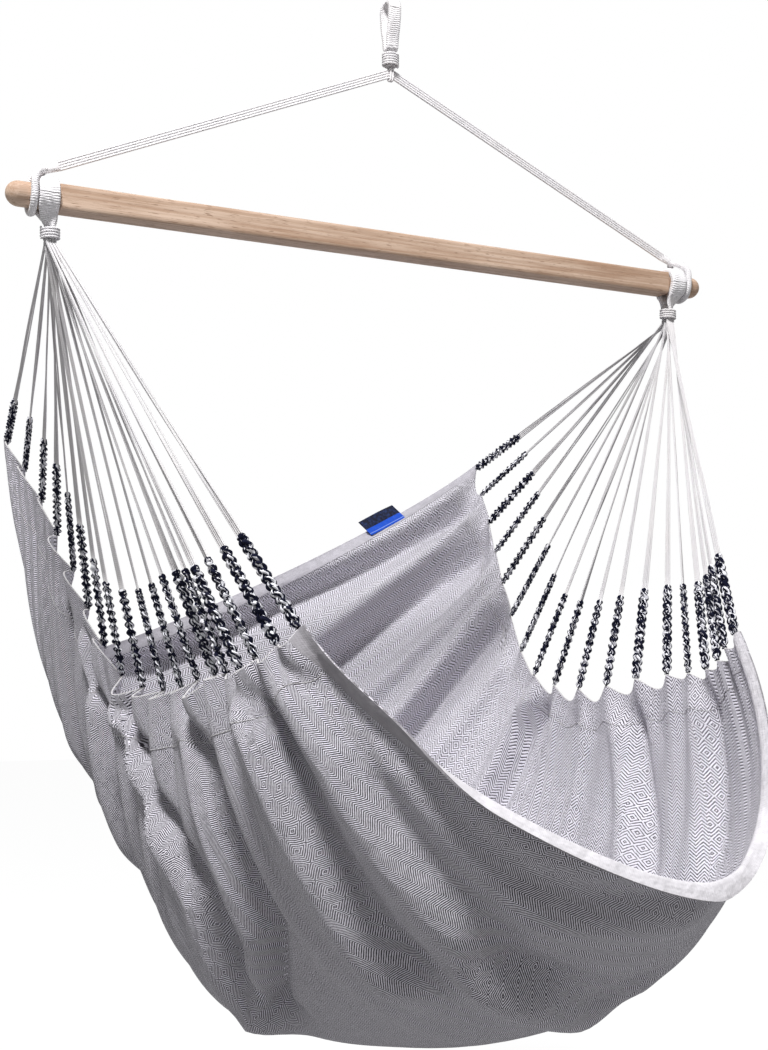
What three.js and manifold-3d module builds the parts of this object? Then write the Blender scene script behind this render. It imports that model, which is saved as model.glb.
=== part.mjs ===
// Hammock chair: a hanging loop, a cord bridle, a wooden spreader bar and a cotton seat
// that hangs from the bar on plaited cords. Millimetres, +X along the bar, the sitter faces -Y,
// +Z up. The origin is the inside top of the hanging loop, where the hook bears.
import * as THREE from "three";
import { mergeVertices } from "three/addons/utils/BufferGeometryUtils.js";
import Module from "manifold-3d";

const wasm = await Module();
wasm.setup();

// Driving sizes

const TOUCH_GAP = 0.3; // between pieces that rest against each other

// Hanging loop: a flat served cord bent into an eye that opens along X
const LOOP_STRAP_WIDTH = 20;
const LOOP_STRAP_THICKNESS = 9;
const EYE_WIDTH = 18;
const EYE_HEIGHT = 46;
const LOOP_LENGTH = 68; // hook bearing point to the loop's rounded lower end
const LOOP_BEVEL = 2.5;
const LOOP_HEEL_RADIUS = 9.5;

// Neck and seizing: the gathered cord ends below the eye and the winding round them
const NECK_RADIUS = 9.2;
const NECK_LENGTH = 20;
const SEIZING_CORD_RADIUS = 1.5;
const SEIZING_PITCH = 3.6;
const SEIZING_TURNS = 5;

// Crown hitch: the two turns that hold the bridle under the neck
const HITCH_CORD_RADIUS = 1.4;
const HITCH_PITCH = 3.4;
const HITCH_TURNS = 2;
const HITCH_ROCK_ROOM = 1.9; // below the bridle, for the chair's sideways rock

// Bridle: parallel cords from one bar end over the crown to the other
const BRIDLE_CORDS = 4;
const BRIDLE_CORD_RADIUS = 1.5;
const BRIDLE_CORD_PITCH = 3.35;
const CROWN_BEND = 6; // length of each cord that the bend at the crown takes

// Spreader bar: a square hardwood bar with turned round ends
const BAR_DROP = 347; // bar axis below the hook bearing point
const BAR_LENGTH = 1100;
const BAR_HEIGHT = 33;
const BAR_DEPTH = 34;
const BAR_CHAMFER = 3;
const TURNED_LENGTH = 67;
const TURNED_RADIUS = 16.2;
const DOME_LENGTH = 17;

// Harness loops: the wide served loops of the seat, round the turned ends
const RUNNING_GAP = 0.4; // between a loop and the wood it turns on
const HARNESS_LOOP_WIDTH = 28;
const HARNESS_LOOP_THICKNESS = 10;
const HARNESS_LOOP_ROUNDING = 4;

// Bridle end loops: thinner served loops outside the harness loops, leaning inwards at the top
const END_LOOP_RADIUS = 5;
const END_LOOP_CREST = 35; // centre line above the bar axis at the top
const END_LOOP_LEAN = 17; // how far the top leans inwards
const END_LOOP_LEAN_SHARPNESS = 4; // how close to the top the lean happens
const END_LOOP_NECK_RADIUS = 6;
const END_LOOP_NECK_LENGTH = 20;

// Throats: where the suspension lines are whipped together below each harness loop
const THROAT_RADIUS = 9.8;
const THROAT_FLARE_RADIUS = 12.5;
const THROAT_FLARE_TOP = 23; // below the bar axis
const THROAT_FLARE_FOOT = 37;
const THROAT_FOOT = 55;
const THROAT_OFFSET = 5; // inwards of the harness loop's middle
const WHIPPING_CORD_RADIUS = 1.5;
const WHIPPING_PITCH = 3.6;
const WHIPPING_TURNS = 4;

// Suspension lines: thin cords that end in a plait at the seat's header
const LINE_RADIUS = 1.6;
const LINE_GAP = 0.35;
const LINE_BEND = 3;
const LINE_ROWS = [4, 3, 4, 3, 4]; // how the lines pack in a throat, back row first
const LINE_RUN = 11; // longest straight run below the throat
const LINE_RUN_SHARES = [0.4, 0.7, 1, 0.7, 0.4]; // of that run for each row
const PLAIT_LENGTH = 140;
const PLAIT_RADIUS = 5.6;
const PLAIT_TIP_RADIUS = 2.4;
const PLAIT_TAPER = 9;
const PLAIT_SEAT_GAP = 0.7;

// Seat cloth, measured from the bar axis
const SEAT_HALF_WIDTH = 433; // half the distance between the back corners
const SEAT_REACH = 505; // back corners behind the bar
const SEAT_DROP = 1108; // lowest point below the bar axis
const CLOTH_THICKNESS = 1.6;
const BAND_WIDTH = 20;
const BAND_SEAM = 0.6;
const BAND_LIMIT_SHARE = 0.4; // of the way from the first line to the second
const HEADER_LENGTH = 1100; // back corner to front corner along the header, as it hangs
const FOLD_DEPTH = 14; // half the height of the folds at the header
const SCALLOP_DEPTH = 22; // how far the header sags between two plaits
const CLOTH_ROWS = 16;

// Label: a plain woven tab on the back edge
const LABEL_LENGTH = 82;
const LABEL_HEIGHT = 36;
const LABEL_THICKNESS = 1.2;
const LABEL_STANDING_SHARE = 0.6; // how much of it stands above the edge
const LABEL_PLACE_SHARE = 0.709; // along the back edge, from the middle line to the right header

// Facets
const ROUND_STEPS = 32;
const WINDING_STEPS = 24;
const WINDING_SIDES = 6;
const CORD_SIDES = 6;
const LOOP_SIDES = 8;

// Cloth shape as shares of the seat's half width, reach and drop. Stations run from the back
// edge to the front edge. The header rows are its right edge and the left one mirrors them. The
// middle rows are the seat's keel, and each squareness says how boxy the cloth hangs between.
const STATION_SHARES = [0, 0.126, 0.261, 0.447, 0.588, 0.739, 0.886, 1];
const HEADER_SHARES = [
  [1.036, 1.07, 0.208],
  [0.968, 0.843, 0.306],
  [0.903, 0.642, 0.417],
  [0.837, 0.345, 0.558],
  [0.803, 0.028, 0.579],
  [0.808, -0.304, 0.562],
  [0.804, -0.604, 0.548],
  [0.721, -0.786, 0.505],
];
const KEEL_SHARES = [
  [-0.705, 0.845, 0.519],
  [-0.568, 0.867, 0.655],
  [-0.359, 0.8, 0.786],
  [-0.15, 0.463, 0.927],
  [-0.055, 0.071, 1.004],
  [-0.002, -0.386, 1.002],
  [0.052, -0.893, 0.909],
  [0.15, -1.328, 0.751],
];
const LEFT_SQUARENESS_SHARES = [1.6, 3.2, 2.75, 2.4, 3.3, 2.1, 1.95, 1.46];
const RIGHT_SQUARENESS_SHARES = [1.09, 1.29, 1.3, 1.81, 2.13, 2.03, 2.27, 1.37];
// Where the lines meet the header, from the first to the last: closer together at the front
const LINE_PLACE_SHARES = [
  0, 0.062, 0.127, 0.19, 0.256, 0.32, 0.388, 0.452, 0.52, 0.588, 0.655, 0.722, 0.79, 0.835,
  0.878, 0.92, 0.96, 1,
];
const FOLD_FADE_SHARE = 1.6; // how fast the folds die out towards the keel
const SCALLOP_SPAN_SHARE = 0.3; // how much of the header-to-keel run the scallops take

// Worked out from the driving sizes

const linesPerSide = LINE_PLACE_SHARES.length;
const shoulder = BAR_LENGTH / 2 - TURNED_LENGTH;
const harnessInnerRadius = TURNED_RADIUS + RUNNING_GAP;
const harnessOuterRadius = harnessInnerRadius + HARNESS_LOOP_THICKNESS;
const harnessMiddle = shoulder + TOUCH_GAP + HARNESS_LOOP_WIDTH / 2;
const throatX = harnessMiddle - THROAT_OFFSET;
const endLoopInnerRadius = TURNED_RADIUS + RUNNING_GAP + END_LOOP_RADIUS;
const endLoopX =
  harnessMiddle + HARNESS_LOOP_WIDTH / 2 + TOUCH_GAP + END_LOOP_RADIUS;
const neckTop = -LOOP_LENGTH - TOUCH_GAP;
const neckFoot = neckTop - NECK_LENGTH;
const hitchTop = neckFoot - TOUCH_GAP;
const crownTop = hitchTop - 2 * HITCH_CORD_RADIUS - TOUCH_GAP;

const WHITE_CORD = 0xe6e3de;
const WOOD = 0xc4a184;
const PLAIT_NAVY = 0x4a4b5c;
const CLOTH_GREY = 0xa3a3aa;
const BAND_GREY = 0xd8d8dc;
const LABEL_BLUE = 0x173a8c;

function cotton(color) {
  return new THREE.MeshStandardMaterial({ color, roughness: 0.95, metalness: 0 });
}

const wood = new THREE.MeshStandardMaterial({
  color: WOOD,
  roughness: 0.6,
  metalness: 0,
});

const chair = new THREE.Group();

function addPiece(name, geometry, material) {
  const piece = new THREE.Mesh(geometry, material);
  piece.name = name;
  chair.add(piece);
  return piece;
}

// Solids and surfaces

function toManifold(geometry) {
  const bare = new THREE.BufferGeometry();
  bare.setAttribute("position", geometry.getAttribute("position"));
  if (geometry.index) bare.setIndex(geometry.index);
  const merged = mergeVertices(bare, 1e-4);
  return new wasm.Manifold(
    new wasm.Mesh({
      numProp: 3,
      vertProperties: merged.attributes.position.array,
      triVerts: new Uint32Array(merged.index.array),
    }),
  );
}

function toGeometry(manifold) {
  const mesh = manifold.getMesh();
  const geometry = new THREE.BufferGeometry();
  geometry.setAttribute(
    "position",
    new THREE.BufferAttribute(new Float32Array(mesh.vertProperties), 3),
  );
  geometry.setIndex(new THREE.BufferAttribute(new Uint32Array(mesh.triVerts), 1));
  const faceted = geometry.toNonIndexed();
  faceted.computeVertexNormals();
  return faceted;
}

function joined(geometries) {
  let whole = toManifold(geometries[0]);
  for (const geometry of geometries.slice(1)) whole = whole.add(toManifold(geometry));
  return toGeometry(whole);
}

function fromTriangles(points, triangles) {
  const geometry = new THREE.BufferGeometry();
  geometry.setAttribute(
    "position",
    new THREE.Float32BufferAttribute(points.flatMap((p) => [p.x, p.y, p.z]), 3),
  );
  geometry.setIndex(triangles.flat());
  const faceted = geometry.toNonIndexed();
  faceted.computeVertexNormals();
  return faceted;
}

// A tube through rings of points. Each ring runs anticlockwise seen against the way the tube
// goes, and the tube is capped at both ends or closed on itself.
function tubeThroughRings(rings, closed) {
  const sides = rings[0].length;
  const triangles = [];
  const last = closed ? rings.length : rings.length - 1;
  for (let i = 0; i < last; i++) {
    const here = i * sides;
    const next = ((i + 1) % rings.length) * sides;
    for (let j = 0; j < sides; j++) {
      const k = (j + 1) % sides;
      triangles.push([here + j, here + k, next + k], [here + j, next + k, next + j]);
    }
  }
  if (!closed) {
    const far = (rings.length - 1) * sides;
    for (let j = 1; j < sides - 1; j++) {
      triangles.push([0, j + 1, j], [far, far + j, far + j + 1]);
    }
  }
  return fromTriangles(rings.flat(), triangles);
}

function ringOf(centre, along, across, radius, sides) {
  const up = new THREE.Vector3().crossVectors(along, across).normalize();
  const side = new THREE.Vector3().crossVectors(up, along).normalize();
  const ring = [];
  for (let j = 0; j < sides; j++) {
    const angle = (2 * Math.PI * j) / sides;
    ring.push(
      centre
        .clone()
        .addScaledVector(side, radius * Math.cos(angle))
        .addScaledVector(up, radius * Math.sin(angle)),
    );
  }
  return ring;
}

// A round tube along points, with a radius at each. Its rings are carried along without twist.
function cordAlong(points, radii, sides) {
  const tangents = points.map((p, i) => {
    const before = points[Math.max(i - 1, 0)];
    const after = points[Math.min(i + 1, points.length - 1)];
    return new THREE.Vector3().subVectors(after, before).normalize();
  });
  const start = tangents[0];
  let across = new THREE.Vector3(Math.abs(start.x) < Math.SQRT1_2 ? 1 : 0, 0, 0);
  if (across.x === 0) across.set(0, 1, 0);
  const rings = points.map((p, i) => {
    across = across.clone().addScaledVector(tangents[i], -across.dot(tangents[i]));
    across.normalize();
    return ringOf(p, tangents[i], across, radii[i], sides);
  });
  return tubeThroughRings(rings, false);
}

// The least distance between two turns of a winding, less the cord's thickness.
function leastGapToItself(points, stepsPerTurn, radius) {
  let least = Infinity;
  for (let i = 0; i < points.length; i++) {
    for (let j = i + stepsPerTurn / 2; j < points.length; j++) {
      least = Math.min(least, points[i].distanceTo(points[j]) - 2 * radius);
    }
  }
  return least;
}

// A winding: one unbroken tube whose centre line is given turn by turn.
function winding(name, turns, radius, centreAt) {
  const points = [];
  for (let i = 0; i <= turns * WINDING_STEPS; i++) points.push(centreAt(i / WINDING_STEPS));
  const gap = leastGapToItself(points, WINDING_STEPS, radius);
  console.log(name + ": least gap to itself " + gap.toFixed(2) + " mm");
  return cordAlong(points, points.map(() => radius), WINDING_SIDES);
}

function alongX(geometry) {
  return geometry.rotateZ(-Math.PI / 2);
}

// Hanging loop

function hangingLoop() {
  const eyeRadius = EYE_WIDTH / 2;
  const outerRadius = eyeRadius + LOOP_STRAP_THICKNESS;
  const outline = new THREE.Shape();
  const heelHeight = LOOP_HEEL_RADIUS - LOOP_LENGTH;
  outline.moveTo(outerRadius, -eyeRadius);
  outline.absarc(0, -eyeRadius, outerRadius, 0, Math.PI, false);
  outline.lineTo(-LOOP_HEEL_RADIUS, heelHeight);
  outline.absarc(0, heelHeight, LOOP_HEEL_RADIUS, Math.PI, 2 * Math.PI, false);
  outline.closePath();
  const eye = new THREE.Path();
  eye.moveTo(eyeRadius, -eyeRadius);
  eye.absarc(0, -eyeRadius, eyeRadius, 0, Math.PI, false);
  eye.quadraticCurveTo(-eyeRadius, -EYE_HEIGHT + eyeRadius, 0, -EYE_HEIGHT);
  eye.quadraticCurveTo(eyeRadius, -EYE_HEIGHT + eyeRadius, eyeRadius, -eyeRadius);
  outline.holes.push(eye);
  const solid = new THREE.ExtrudeGeometry(outline, {
    depth: LOOP_STRAP_WIDTH,
    bevelEnabled: false,
    curveSegments: 12,
  });
  solid.translate(0, 0, -LOOP_STRAP_WIDTH / 2);
  // The outline is drawn in Y and Z, and its thickness runs along X.
  solid.rotateX(Math.PI / 2).rotateZ(Math.PI / 2);
  const rounding = bevelledStrap(outerRadius);
  return toGeometry(toManifold(solid).intersect(toManifold(rounding)));
}

// A pillow-edged block whose section takes the corners off the strap's edges at the loop's sides.
function bevelledStrap(outerRadius) {
  const halfWidth = LOOP_STRAP_WIDTH / 2;
  const section = new THREE.Shape();
  section.moveTo(-halfWidth, -outerRadius + LOOP_BEVEL);
  section.lineTo(-halfWidth + LOOP_BEVEL, -outerRadius);
  section.lineTo(halfWidth - LOOP_BEVEL, -outerRadius);
  section.lineTo(halfWidth, -outerRadius + LOOP_BEVEL);
  section.lineTo(halfWidth, outerRadius - LOOP_BEVEL);
  section.lineTo(halfWidth - LOOP_BEVEL, outerRadius);
  section.lineTo(-halfWidth + LOOP_BEVEL, outerRadius);
  section.lineTo(-halfWidth, outerRadius - LOOP_BEVEL);
  section.closePath();
  const block = new THREE.ExtrudeGeometry(section, {
    depth: LOOP_LENGTH + LOOP_STRAP_THICKNESS,
    bevelEnabled: false,
  });
  return block.translate(0, 0, -LOOP_LENGTH);
}

function uprightCylinder(topRadius, footRadius, top, foot) {
  const solid = new THREE.CylinderGeometry(topRadius, footRadius, top - foot, ROUND_STEPS);
  return solid.rotateX(Math.PI / 2).translate(0, 0, (top + foot) / 2);
}

// A winding round an upright core, centred on a height.
function uprightWinding(name, coreRadius, cordRadius, pitch, turns, middle) {
  const radius = coreRadius + TOUCH_GAP + cordRadius;
  const top = middle + (pitch * turns) / 2;
  return winding(name, turns, cordRadius, (turn) => {
    const angle = 2 * Math.PI * turn;
    return new THREE.Vector3(
      radius * Math.cos(angle),
      radius * Math.sin(angle),
      top - pitch * turn,
    );
  });
}

// Bridle

const bridleNeckStart = new THREE.Vector3(
  endLoopX - END_LOOP_LEAN,
  0,
  END_LOOP_CREST - BAR_DROP,
);

// The crown is where the middle of the cord stack crosses the middle plane.
function bridleCrown() {
  let crown = new THREE.Vector3(0, 0, crownTop);
  for (let pass = 0; pass < 4; pass++) {
    const leg = new THREE.Vector3().subVectors(bridleNeckStart, crown);
    const slope = Math.atan2(-leg.z, leg.x);
    const stackHalf =
      (((BRIDLE_CORDS - 1) / 2) * BRIDLE_CORD_PITCH) / Math.cos(slope);
    const bendDrop = (CROWN_BEND * Math.sin(slope)) / 2;
    crown = new THREE.Vector3(0, 0, crownTop - BRIDLE_CORD_RADIUS - stackHalf + bendDrop);
  }
  return crown;
}

const crown = bridleCrown();
const bridleLeg = new THREE.Vector3().subVectors(crown, bridleNeckStart);
const bridleSlope = Math.atan2(bridleLeg.z, -bridleLeg.x);
const upTheRightLeg = bridleLeg.clone().normalize();
const acrossTheRightLeg = new THREE.Vector3(upTheRightLeg.z, 0, -upTheRightLeg.x);
const stackSpan = (BRIDLE_CORDS - 1) * BRIDLE_CORD_PITCH;
const crownFoot =
  crownTop - stackSpan / Math.cos(bridleSlope) - 2 * BRIDLE_CORD_RADIUS;

function mirrored(point) {
  return new THREE.Vector3(-point.x, point.y, point.z);
}

function bridleCord(index) {
  const offset = (index - (BRIDLE_CORDS - 1) / 2) * BRIDLE_CORD_PITCH;
  const foot = bridleNeckStart
    .clone()
    .addScaledVector(upTheRightLeg, END_LOOP_NECK_LENGTH + TOUCH_GAP)
    .addScaledVector(acrossTheRightLeg, offset);
  const corner = new THREE.Vector3(0, 0, crown.z + offset / Math.cos(bridleSlope));
  const bendFoot = corner.clone().addScaledVector(upTheRightLeg, -CROWN_BEND);
  const bend = new THREE.QuadraticBezierCurve3(bendFoot, corner, mirrored(bendFoot));
  const points = [foot, ...bend.getPoints(6), mirrored(foot)];
  return cordAlong(points, points.map(() => BRIDLE_CORD_RADIUS), LOOP_SIDES);
}

// The loop at one bar end. It goes round the turned end, and its top leans over the harness
// loop and runs into a neck that points up the bridle's leg.
function bridleEndLoop(side) {
  const rings = [];
  for (let i = 0; i < ROUND_STEPS; i++) {
    const angle = (2 * Math.PI * i) / ROUND_STEPS;
    rings.push(endLoopRing(angle));
  }
  const ring = tubeThroughRings(rings, true);
  const neck = new THREE.CylinderGeometry(
    END_LOOP_NECK_RADIUS,
    END_LOOP_NECK_RADIUS,
    END_LOOP_NECK_LENGTH,
    LOOP_SIDES * 2,
  );
  neck.translate(0, END_LOOP_NECK_LENGTH / 2, 0);
  neck.rotateZ(Math.PI / 2 - bridleSlope).rotateX(Math.PI / 2);
  neck.translate(bridleNeckStart.x, 0, bridleNeckStart.z);
  const loop = joined([ring, neck]);
  return side > 0 ? loop : mirroredGeometry(loop);
}

function endLoopCentre(angle) {
  const rise = Math.max(Math.cos(angle), 0) ** 2;
  const radius = endLoopInnerRadius + (END_LOOP_CREST - endLoopInnerRadius) * rise;
  return new THREE.Vector3(
    endLoopX - END_LOOP_LEAN * rise ** END_LOOP_LEAN_SHARPNESS,
    radius * Math.sin(angle),
    radius * Math.cos(angle) - BAR_DROP,
  );
}

function endLoopRing(angle) {
  const step = Math.PI / ROUND_STEPS;
  const ahead = endLoopCentre(angle + step);
  const behind = endLoopCentre(angle - step);
  const along = new THREE.Vector3().subVectors(ahead, behind).normalize();
  const outward = new THREE.Vector3(0, Math.sin(angle), Math.cos(angle));
  return ringOf(endLoopCentre(angle), along, outward, END_LOOP_RADIUS, LOOP_SIDES);
}

function mirroredGeometry(geometry) {
  const flipped = geometry.clone().scale(-1, 1, 1);
  const positions = flipped.getAttribute("position");
  const corner = new THREE.Vector3();
  const other = new THREE.Vector3();
  for (let i = 0; i < positions.count; i += 3) {
    corner.fromBufferAttribute(positions, i + 1);
    other.fromBufferAttribute(positions, i + 2);
    positions.setXYZ(i + 1, other.x, other.y, other.z);
    positions.setXYZ(i + 2, corner.x, corner.y, corner.z);
  }
  flipped.computeVertexNormals();
  return flipped;
}

// Spreader bar

function spreaderBar() {
  const halfDepth = BAR_DEPTH / 2;
  const halfHeight = BAR_HEIGHT / 2;
  const section = new THREE.Shape([
    new THREE.Vector2(-halfDepth + BAR_CHAMFER, -halfHeight),
    new THREE.Vector2(halfDepth - BAR_CHAMFER, -halfHeight),
    new THREE.Vector2(halfDepth, -halfHeight + BAR_CHAMFER),
    new THREE.Vector2(halfDepth, halfHeight - BAR_CHAMFER),
    new THREE.Vector2(halfDepth - BAR_CHAMFER, halfHeight),
    new THREE.Vector2(-halfDepth + BAR_CHAMFER, halfHeight),
    new THREE.Vector2(-halfDepth, halfHeight - BAR_CHAMFER),
    new THREE.Vector2(-halfDepth, -halfHeight + BAR_CHAMFER),
  ]);
  const square = new THREE.ExtrudeGeometry(section, {
    depth: 2 * shoulder,
    bevelEnabled: false,
  });
  square.translate(0, 0, -shoulder);
  square.rotateX(Math.PI / 2).rotateZ(Math.PI / 2);
  const half = BAR_LENGTH / 2;
  const domeSteps = 6;
  const profile = [new THREE.Vector2(0, -half)];
  for (let i = 1; i <= domeSteps; i++) {
    const angle = ((Math.PI / 2) * i) / domeSteps;
    profile.push(
      new THREE.Vector2(
        TURNED_RADIUS * Math.sin(angle),
        -half + DOME_LENGTH * (1 - Math.cos(angle)),
      ),
    );
  }
  const farSide = profile.map((p) => new THREE.Vector2(p.x, -p.y)).reverse();
  const turned = alongX(new THREE.LatheGeometry([...profile, ...farSide], ROUND_STEPS));
  return joined([square, turned]).translate(0, 0, -BAR_DROP);
}

// Harness loops and throats, made on the right side

function harnessRing() {
  const halfWidth = HARNESS_LOOP_WIDTH / 2;
  const corners = [
    [harnessInnerRadius, -halfWidth],
    [harnessOuterRadius, -halfWidth],
    [harnessOuterRadius, halfWidth],
    [harnessInnerRadius, halfWidth],
  ];
  const middleRadius = (harnessInnerRadius + harnessOuterRadius) / 2;
  const profile = [];
  for (const [radius, height] of corners) {
    const inRadius = radius + Math.sign(middleRadius - radius) * HARNESS_LOOP_ROUNDING;
    const inHeight = height - Math.sign(height) * HARNESS_LOOP_ROUNDING;
    const first = [radius, inHeight];
    const second = [inRadius, height];
    const upFirst = Math.sign(height) !== Math.sign(middleRadius - radius);
    const pair = upFirst ? [first, second] : [second, first];
    for (const [x, y] of pair) profile.push(new THREE.Vector2(x, y));
  }
  profile.push(profile[0].clone());
  return alongX(new THREE.LatheGeometry(profile, ROUND_STEPS));
}

function harnessLoop(side) {
  const ring = harnessRing().translate(side * harnessMiddle, 0, 0);
  const flare = uprightCylinder(
    THROAT_FLARE_RADIUS,
    THROAT_RADIUS,
    -THROAT_FLARE_TOP,
    -THROAT_FLARE_FOOT,
  );
  const throat = uprightCylinder(
    THROAT_RADIUS,
    THROAT_RADIUS,
    -THROAT_FLARE_TOP,
    -THROAT_FOOT,
  );
  for (const piece of [flare, throat]) piece.translate(side * throatX, 0, 0);
  return joined([ring, flare, throat]).translate(0, 0, -BAR_DROP);
}

const whippingMiddle =
  -THROAT_FOOT + TOUCH_GAP + WHIPPING_CORD_RADIUS + (WHIPPING_PITCH * WHIPPING_TURNS) / 2;

// Seat cloth

// A smooth curve through values at the stations, as a cubic between each two.
function atStation(values, station) {
  const count = STATION_SHARES.length;
  let k = count - 2;
  while (k > 0 && station < STATION_SHARES[k]) k--;
  const slopeOf = (i) =>
    (values[i + 1] - values[i]) / (STATION_SHARES[i + 1] - STATION_SHARES[i]);
  const tangentOf = (i) => {
    if (i === 0) return slopeOf(0);
    if (i === count - 1) return slopeOf(count - 2);
    const before = STATION_SHARES[i] - STATION_SHARES[i - 1];
    const after = STATION_SHARES[i + 1] - STATION_SHARES[i];
    return (slopeOf(i - 1) * after + slopeOf(i) * before) / (before + after);
  };
  const span = STATION_SHARES[k + 1] - STATION_SHARES[k];
  const u = (station - STATION_SHARES[k]) / span;
  const u2 = u * u;
  const u3 = u2 * u;
  return (
    values[k] * (2 * u3 - 3 * u2 + 1) +
    values[k + 1] * (3 * u2 - 2 * u3) +
    tangentOf(k) * span * (u3 - 2 * u2 + u) +
    tangentOf(k + 1) * span * (u3 - u2)
  );
}

function sharesAt(rows, station) {
  return [0, 1, 2].map((axis) =>
    atStation(
      rows.map((row) => row[axis]),
      station,
    ),
  );
}

// The smooth cloth. The station runs from the back edge, 0, to the front edge, 1, and the reach
// from the left header, -1, over the keel, 0, to the right header, 1. Between header and keel the
// cloth follows a quarter of a superellipse.
function smoothCloth(station, reach) {
  const [headerX, headerY, headerDrop] = sharesAt(HEADER_SHARES, station);
  const [keelX, keelY, keelDrop] = sharesAt(KEEL_SHARES, station);
  const squareness = atStation(
    reach < 0 ? LEFT_SQUARENESS_SHARES : RIGHT_SQUARENESS_SHARES,
    station,
  );
  const angle = (Math.abs(reach) * Math.PI) / 2;
  const size =
    (Math.cos(angle) ** squareness + Math.sin(angle) ** squareness) ** (-1 / squareness);
  const outward = size * Math.sin(angle);
  const sunk = size * Math.cos(angle);
  const sideX = Math.sign(reach) * headerX;
  return new THREE.Vector3(
    SEAT_HALF_WIDTH * (keelX + (sideX - keelX) * outward),
    SEAT_REACH * (headerY + (keelY - headerY) * sunk),
    -SEAT_DROP * (headerDrop + (keelDrop - headerDrop) * sunk) - BAR_DROP,
  );
}

const bandShareAtHeader = BAND_WIDTH / HEADER_LENGTH;
const firstLineStation = bandShareAtHeader / 2;

// The space between two lines, as a share of the even one, and the first of the two.
function spaceAt(first) {
  const index = Math.min(Math.max(first, 0), linesPerSide - 2);
  const space = LINE_PLACE_SHARES[index + 1] - LINE_PLACE_SHARES[index];
  return { index, space, evenness: space * (linesPerSide - 1) };
}

function lineStation(count) {
  const { index, space } = spaceAt(Math.floor(count));
  const share = LINE_PLACE_SHARES[index] + space * (count - index);
  return firstLineStation + (1 - 2 * firstLineStation) * share;
}

const DERIVATIVE_STEP = 1e-3;

// How far it is across the cloth, square to its back or front edge, per share of the run.
function runFromEdge(edge, reach) {
  const inside = edge === 0 ? bandShareAtHeader : 1 - bandShareAtHeader;
  const inwards = new THREE.Vector3().subVectors(
    smoothCloth(inside, reach),
    smoothCloth(edge, reach),
  );
  const along = new THREE.Vector3()
    .subVectors(
      smoothCloth(edge, Math.min(reach + DERIVATIVE_STEP, 1)),
      smoothCloth(edge, Math.max(reach - DERIVATIVE_STEP, -1)),
    )
    .normalize();
  return inwards.addScaledVector(along, -inwards.dot(along)).length() / bandShareAtHeader;
}

// The share of the run that an edge band takes. It stays short of the first bulge.
function bandShare(edge, reach) {
  return Math.min(BAND_WIDTH / runFromEdge(edge, reach), lineStation(BAND_LIMIT_SHARE));
}

function seamShare(edge, reach) {
  return bandShare(edge, reach) + BAND_SEAM / runFromEdge(edge, reach);
}

// The cloth with its gathered folds: a crease below each plait and a bulge between two, deepest
// at the header, whose edge sags in a scallop between the plaits.
function foldedCloth(station, reach) {
  const point = smoothCloth(station, reach);
  if (reach === 0) return point;
  const towardsKeel = new THREE.Vector3()
    .subVectors(smoothCloth(station, reach * (1 - DERIVATIVE_STEP)), point)
    .normalize();
  const share = THREE.MathUtils.clamp(
    (station - firstLineStation) / (1 - 2 * firstLineStation),
    0,
    1,
  );
  const { index, space, evenness } = spaceAt(
    LINE_PLACE_SHARES.findLastIndex((place) => place <= share),
  );
  const count = (share - LINE_PLACE_SHARES[index]) / space;
  const bulge = evenness * (1 - Math.cos(2 * Math.PI * count)) - 1;
  const gathered = Math.abs(reach) ** FOLD_FADE_SHARE;
  const nearHeader = Math.max(
    (Math.abs(reach) - 1 + SCALLOP_SPAN_SHARE) / SCALLOP_SPAN_SHARE,
    0,
  );
  const sag = (SCALLOP_DEPTH * (1 + bulge) * nearHeader ** 2) / 2;
  const depth = FOLD_DEPTH * fullnessAt(station, reach);
  return point
    .addScaledVector(normalOf(smoothCloth, station, reach), depth * bulge * gathered)
    .addScaledVector(towardsKeel, sag);
}

// How wide the smooth cloth is at a place, as a share of its header: folds are shallower
// where the cloth is drawn together.
function fullnessAt(station, reach) {
  const towardsEdge = differenceOver(smoothCloth, station, reach, DERIVATIVE_STEP, 0);
  const towardsHeader = differenceOver(smoothCloth, station, reach, 0, DERIVATIVE_STEP);
  const wide = towardsEdge.cross(towardsHeader.normalize()).length();
  return Math.min(wide / HEADER_LENGTH, 1);
}

// The change of a cloth surface per share of the way along it, either way from a place.
function differenceOver(surface, station, reach, alongStep, reachStep) {
  const [first, last] = [Math.max(station - alongStep, 0), Math.min(station + alongStep, 1)];
  const [low, high] = [Math.max(reach - reachStep, -1), Math.min(reach + reachStep, 1)];
  return new THREE.Vector3()
    .subVectors(surface(last, high), surface(first, low))
    .divideScalar(last - first || high - low);
}

// The direction square to a cloth surface, away from the sitter.
function normalOf(surface, station, reach) {
  const alongStation = differenceOver(surface, station, reach, DERIVATIVE_STEP, 0);
  const alongReach = differenceOver(surface, station, reach, 0, DERIVATIVE_STEP);
  return alongReach.cross(alongStation).normalize();
}

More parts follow.
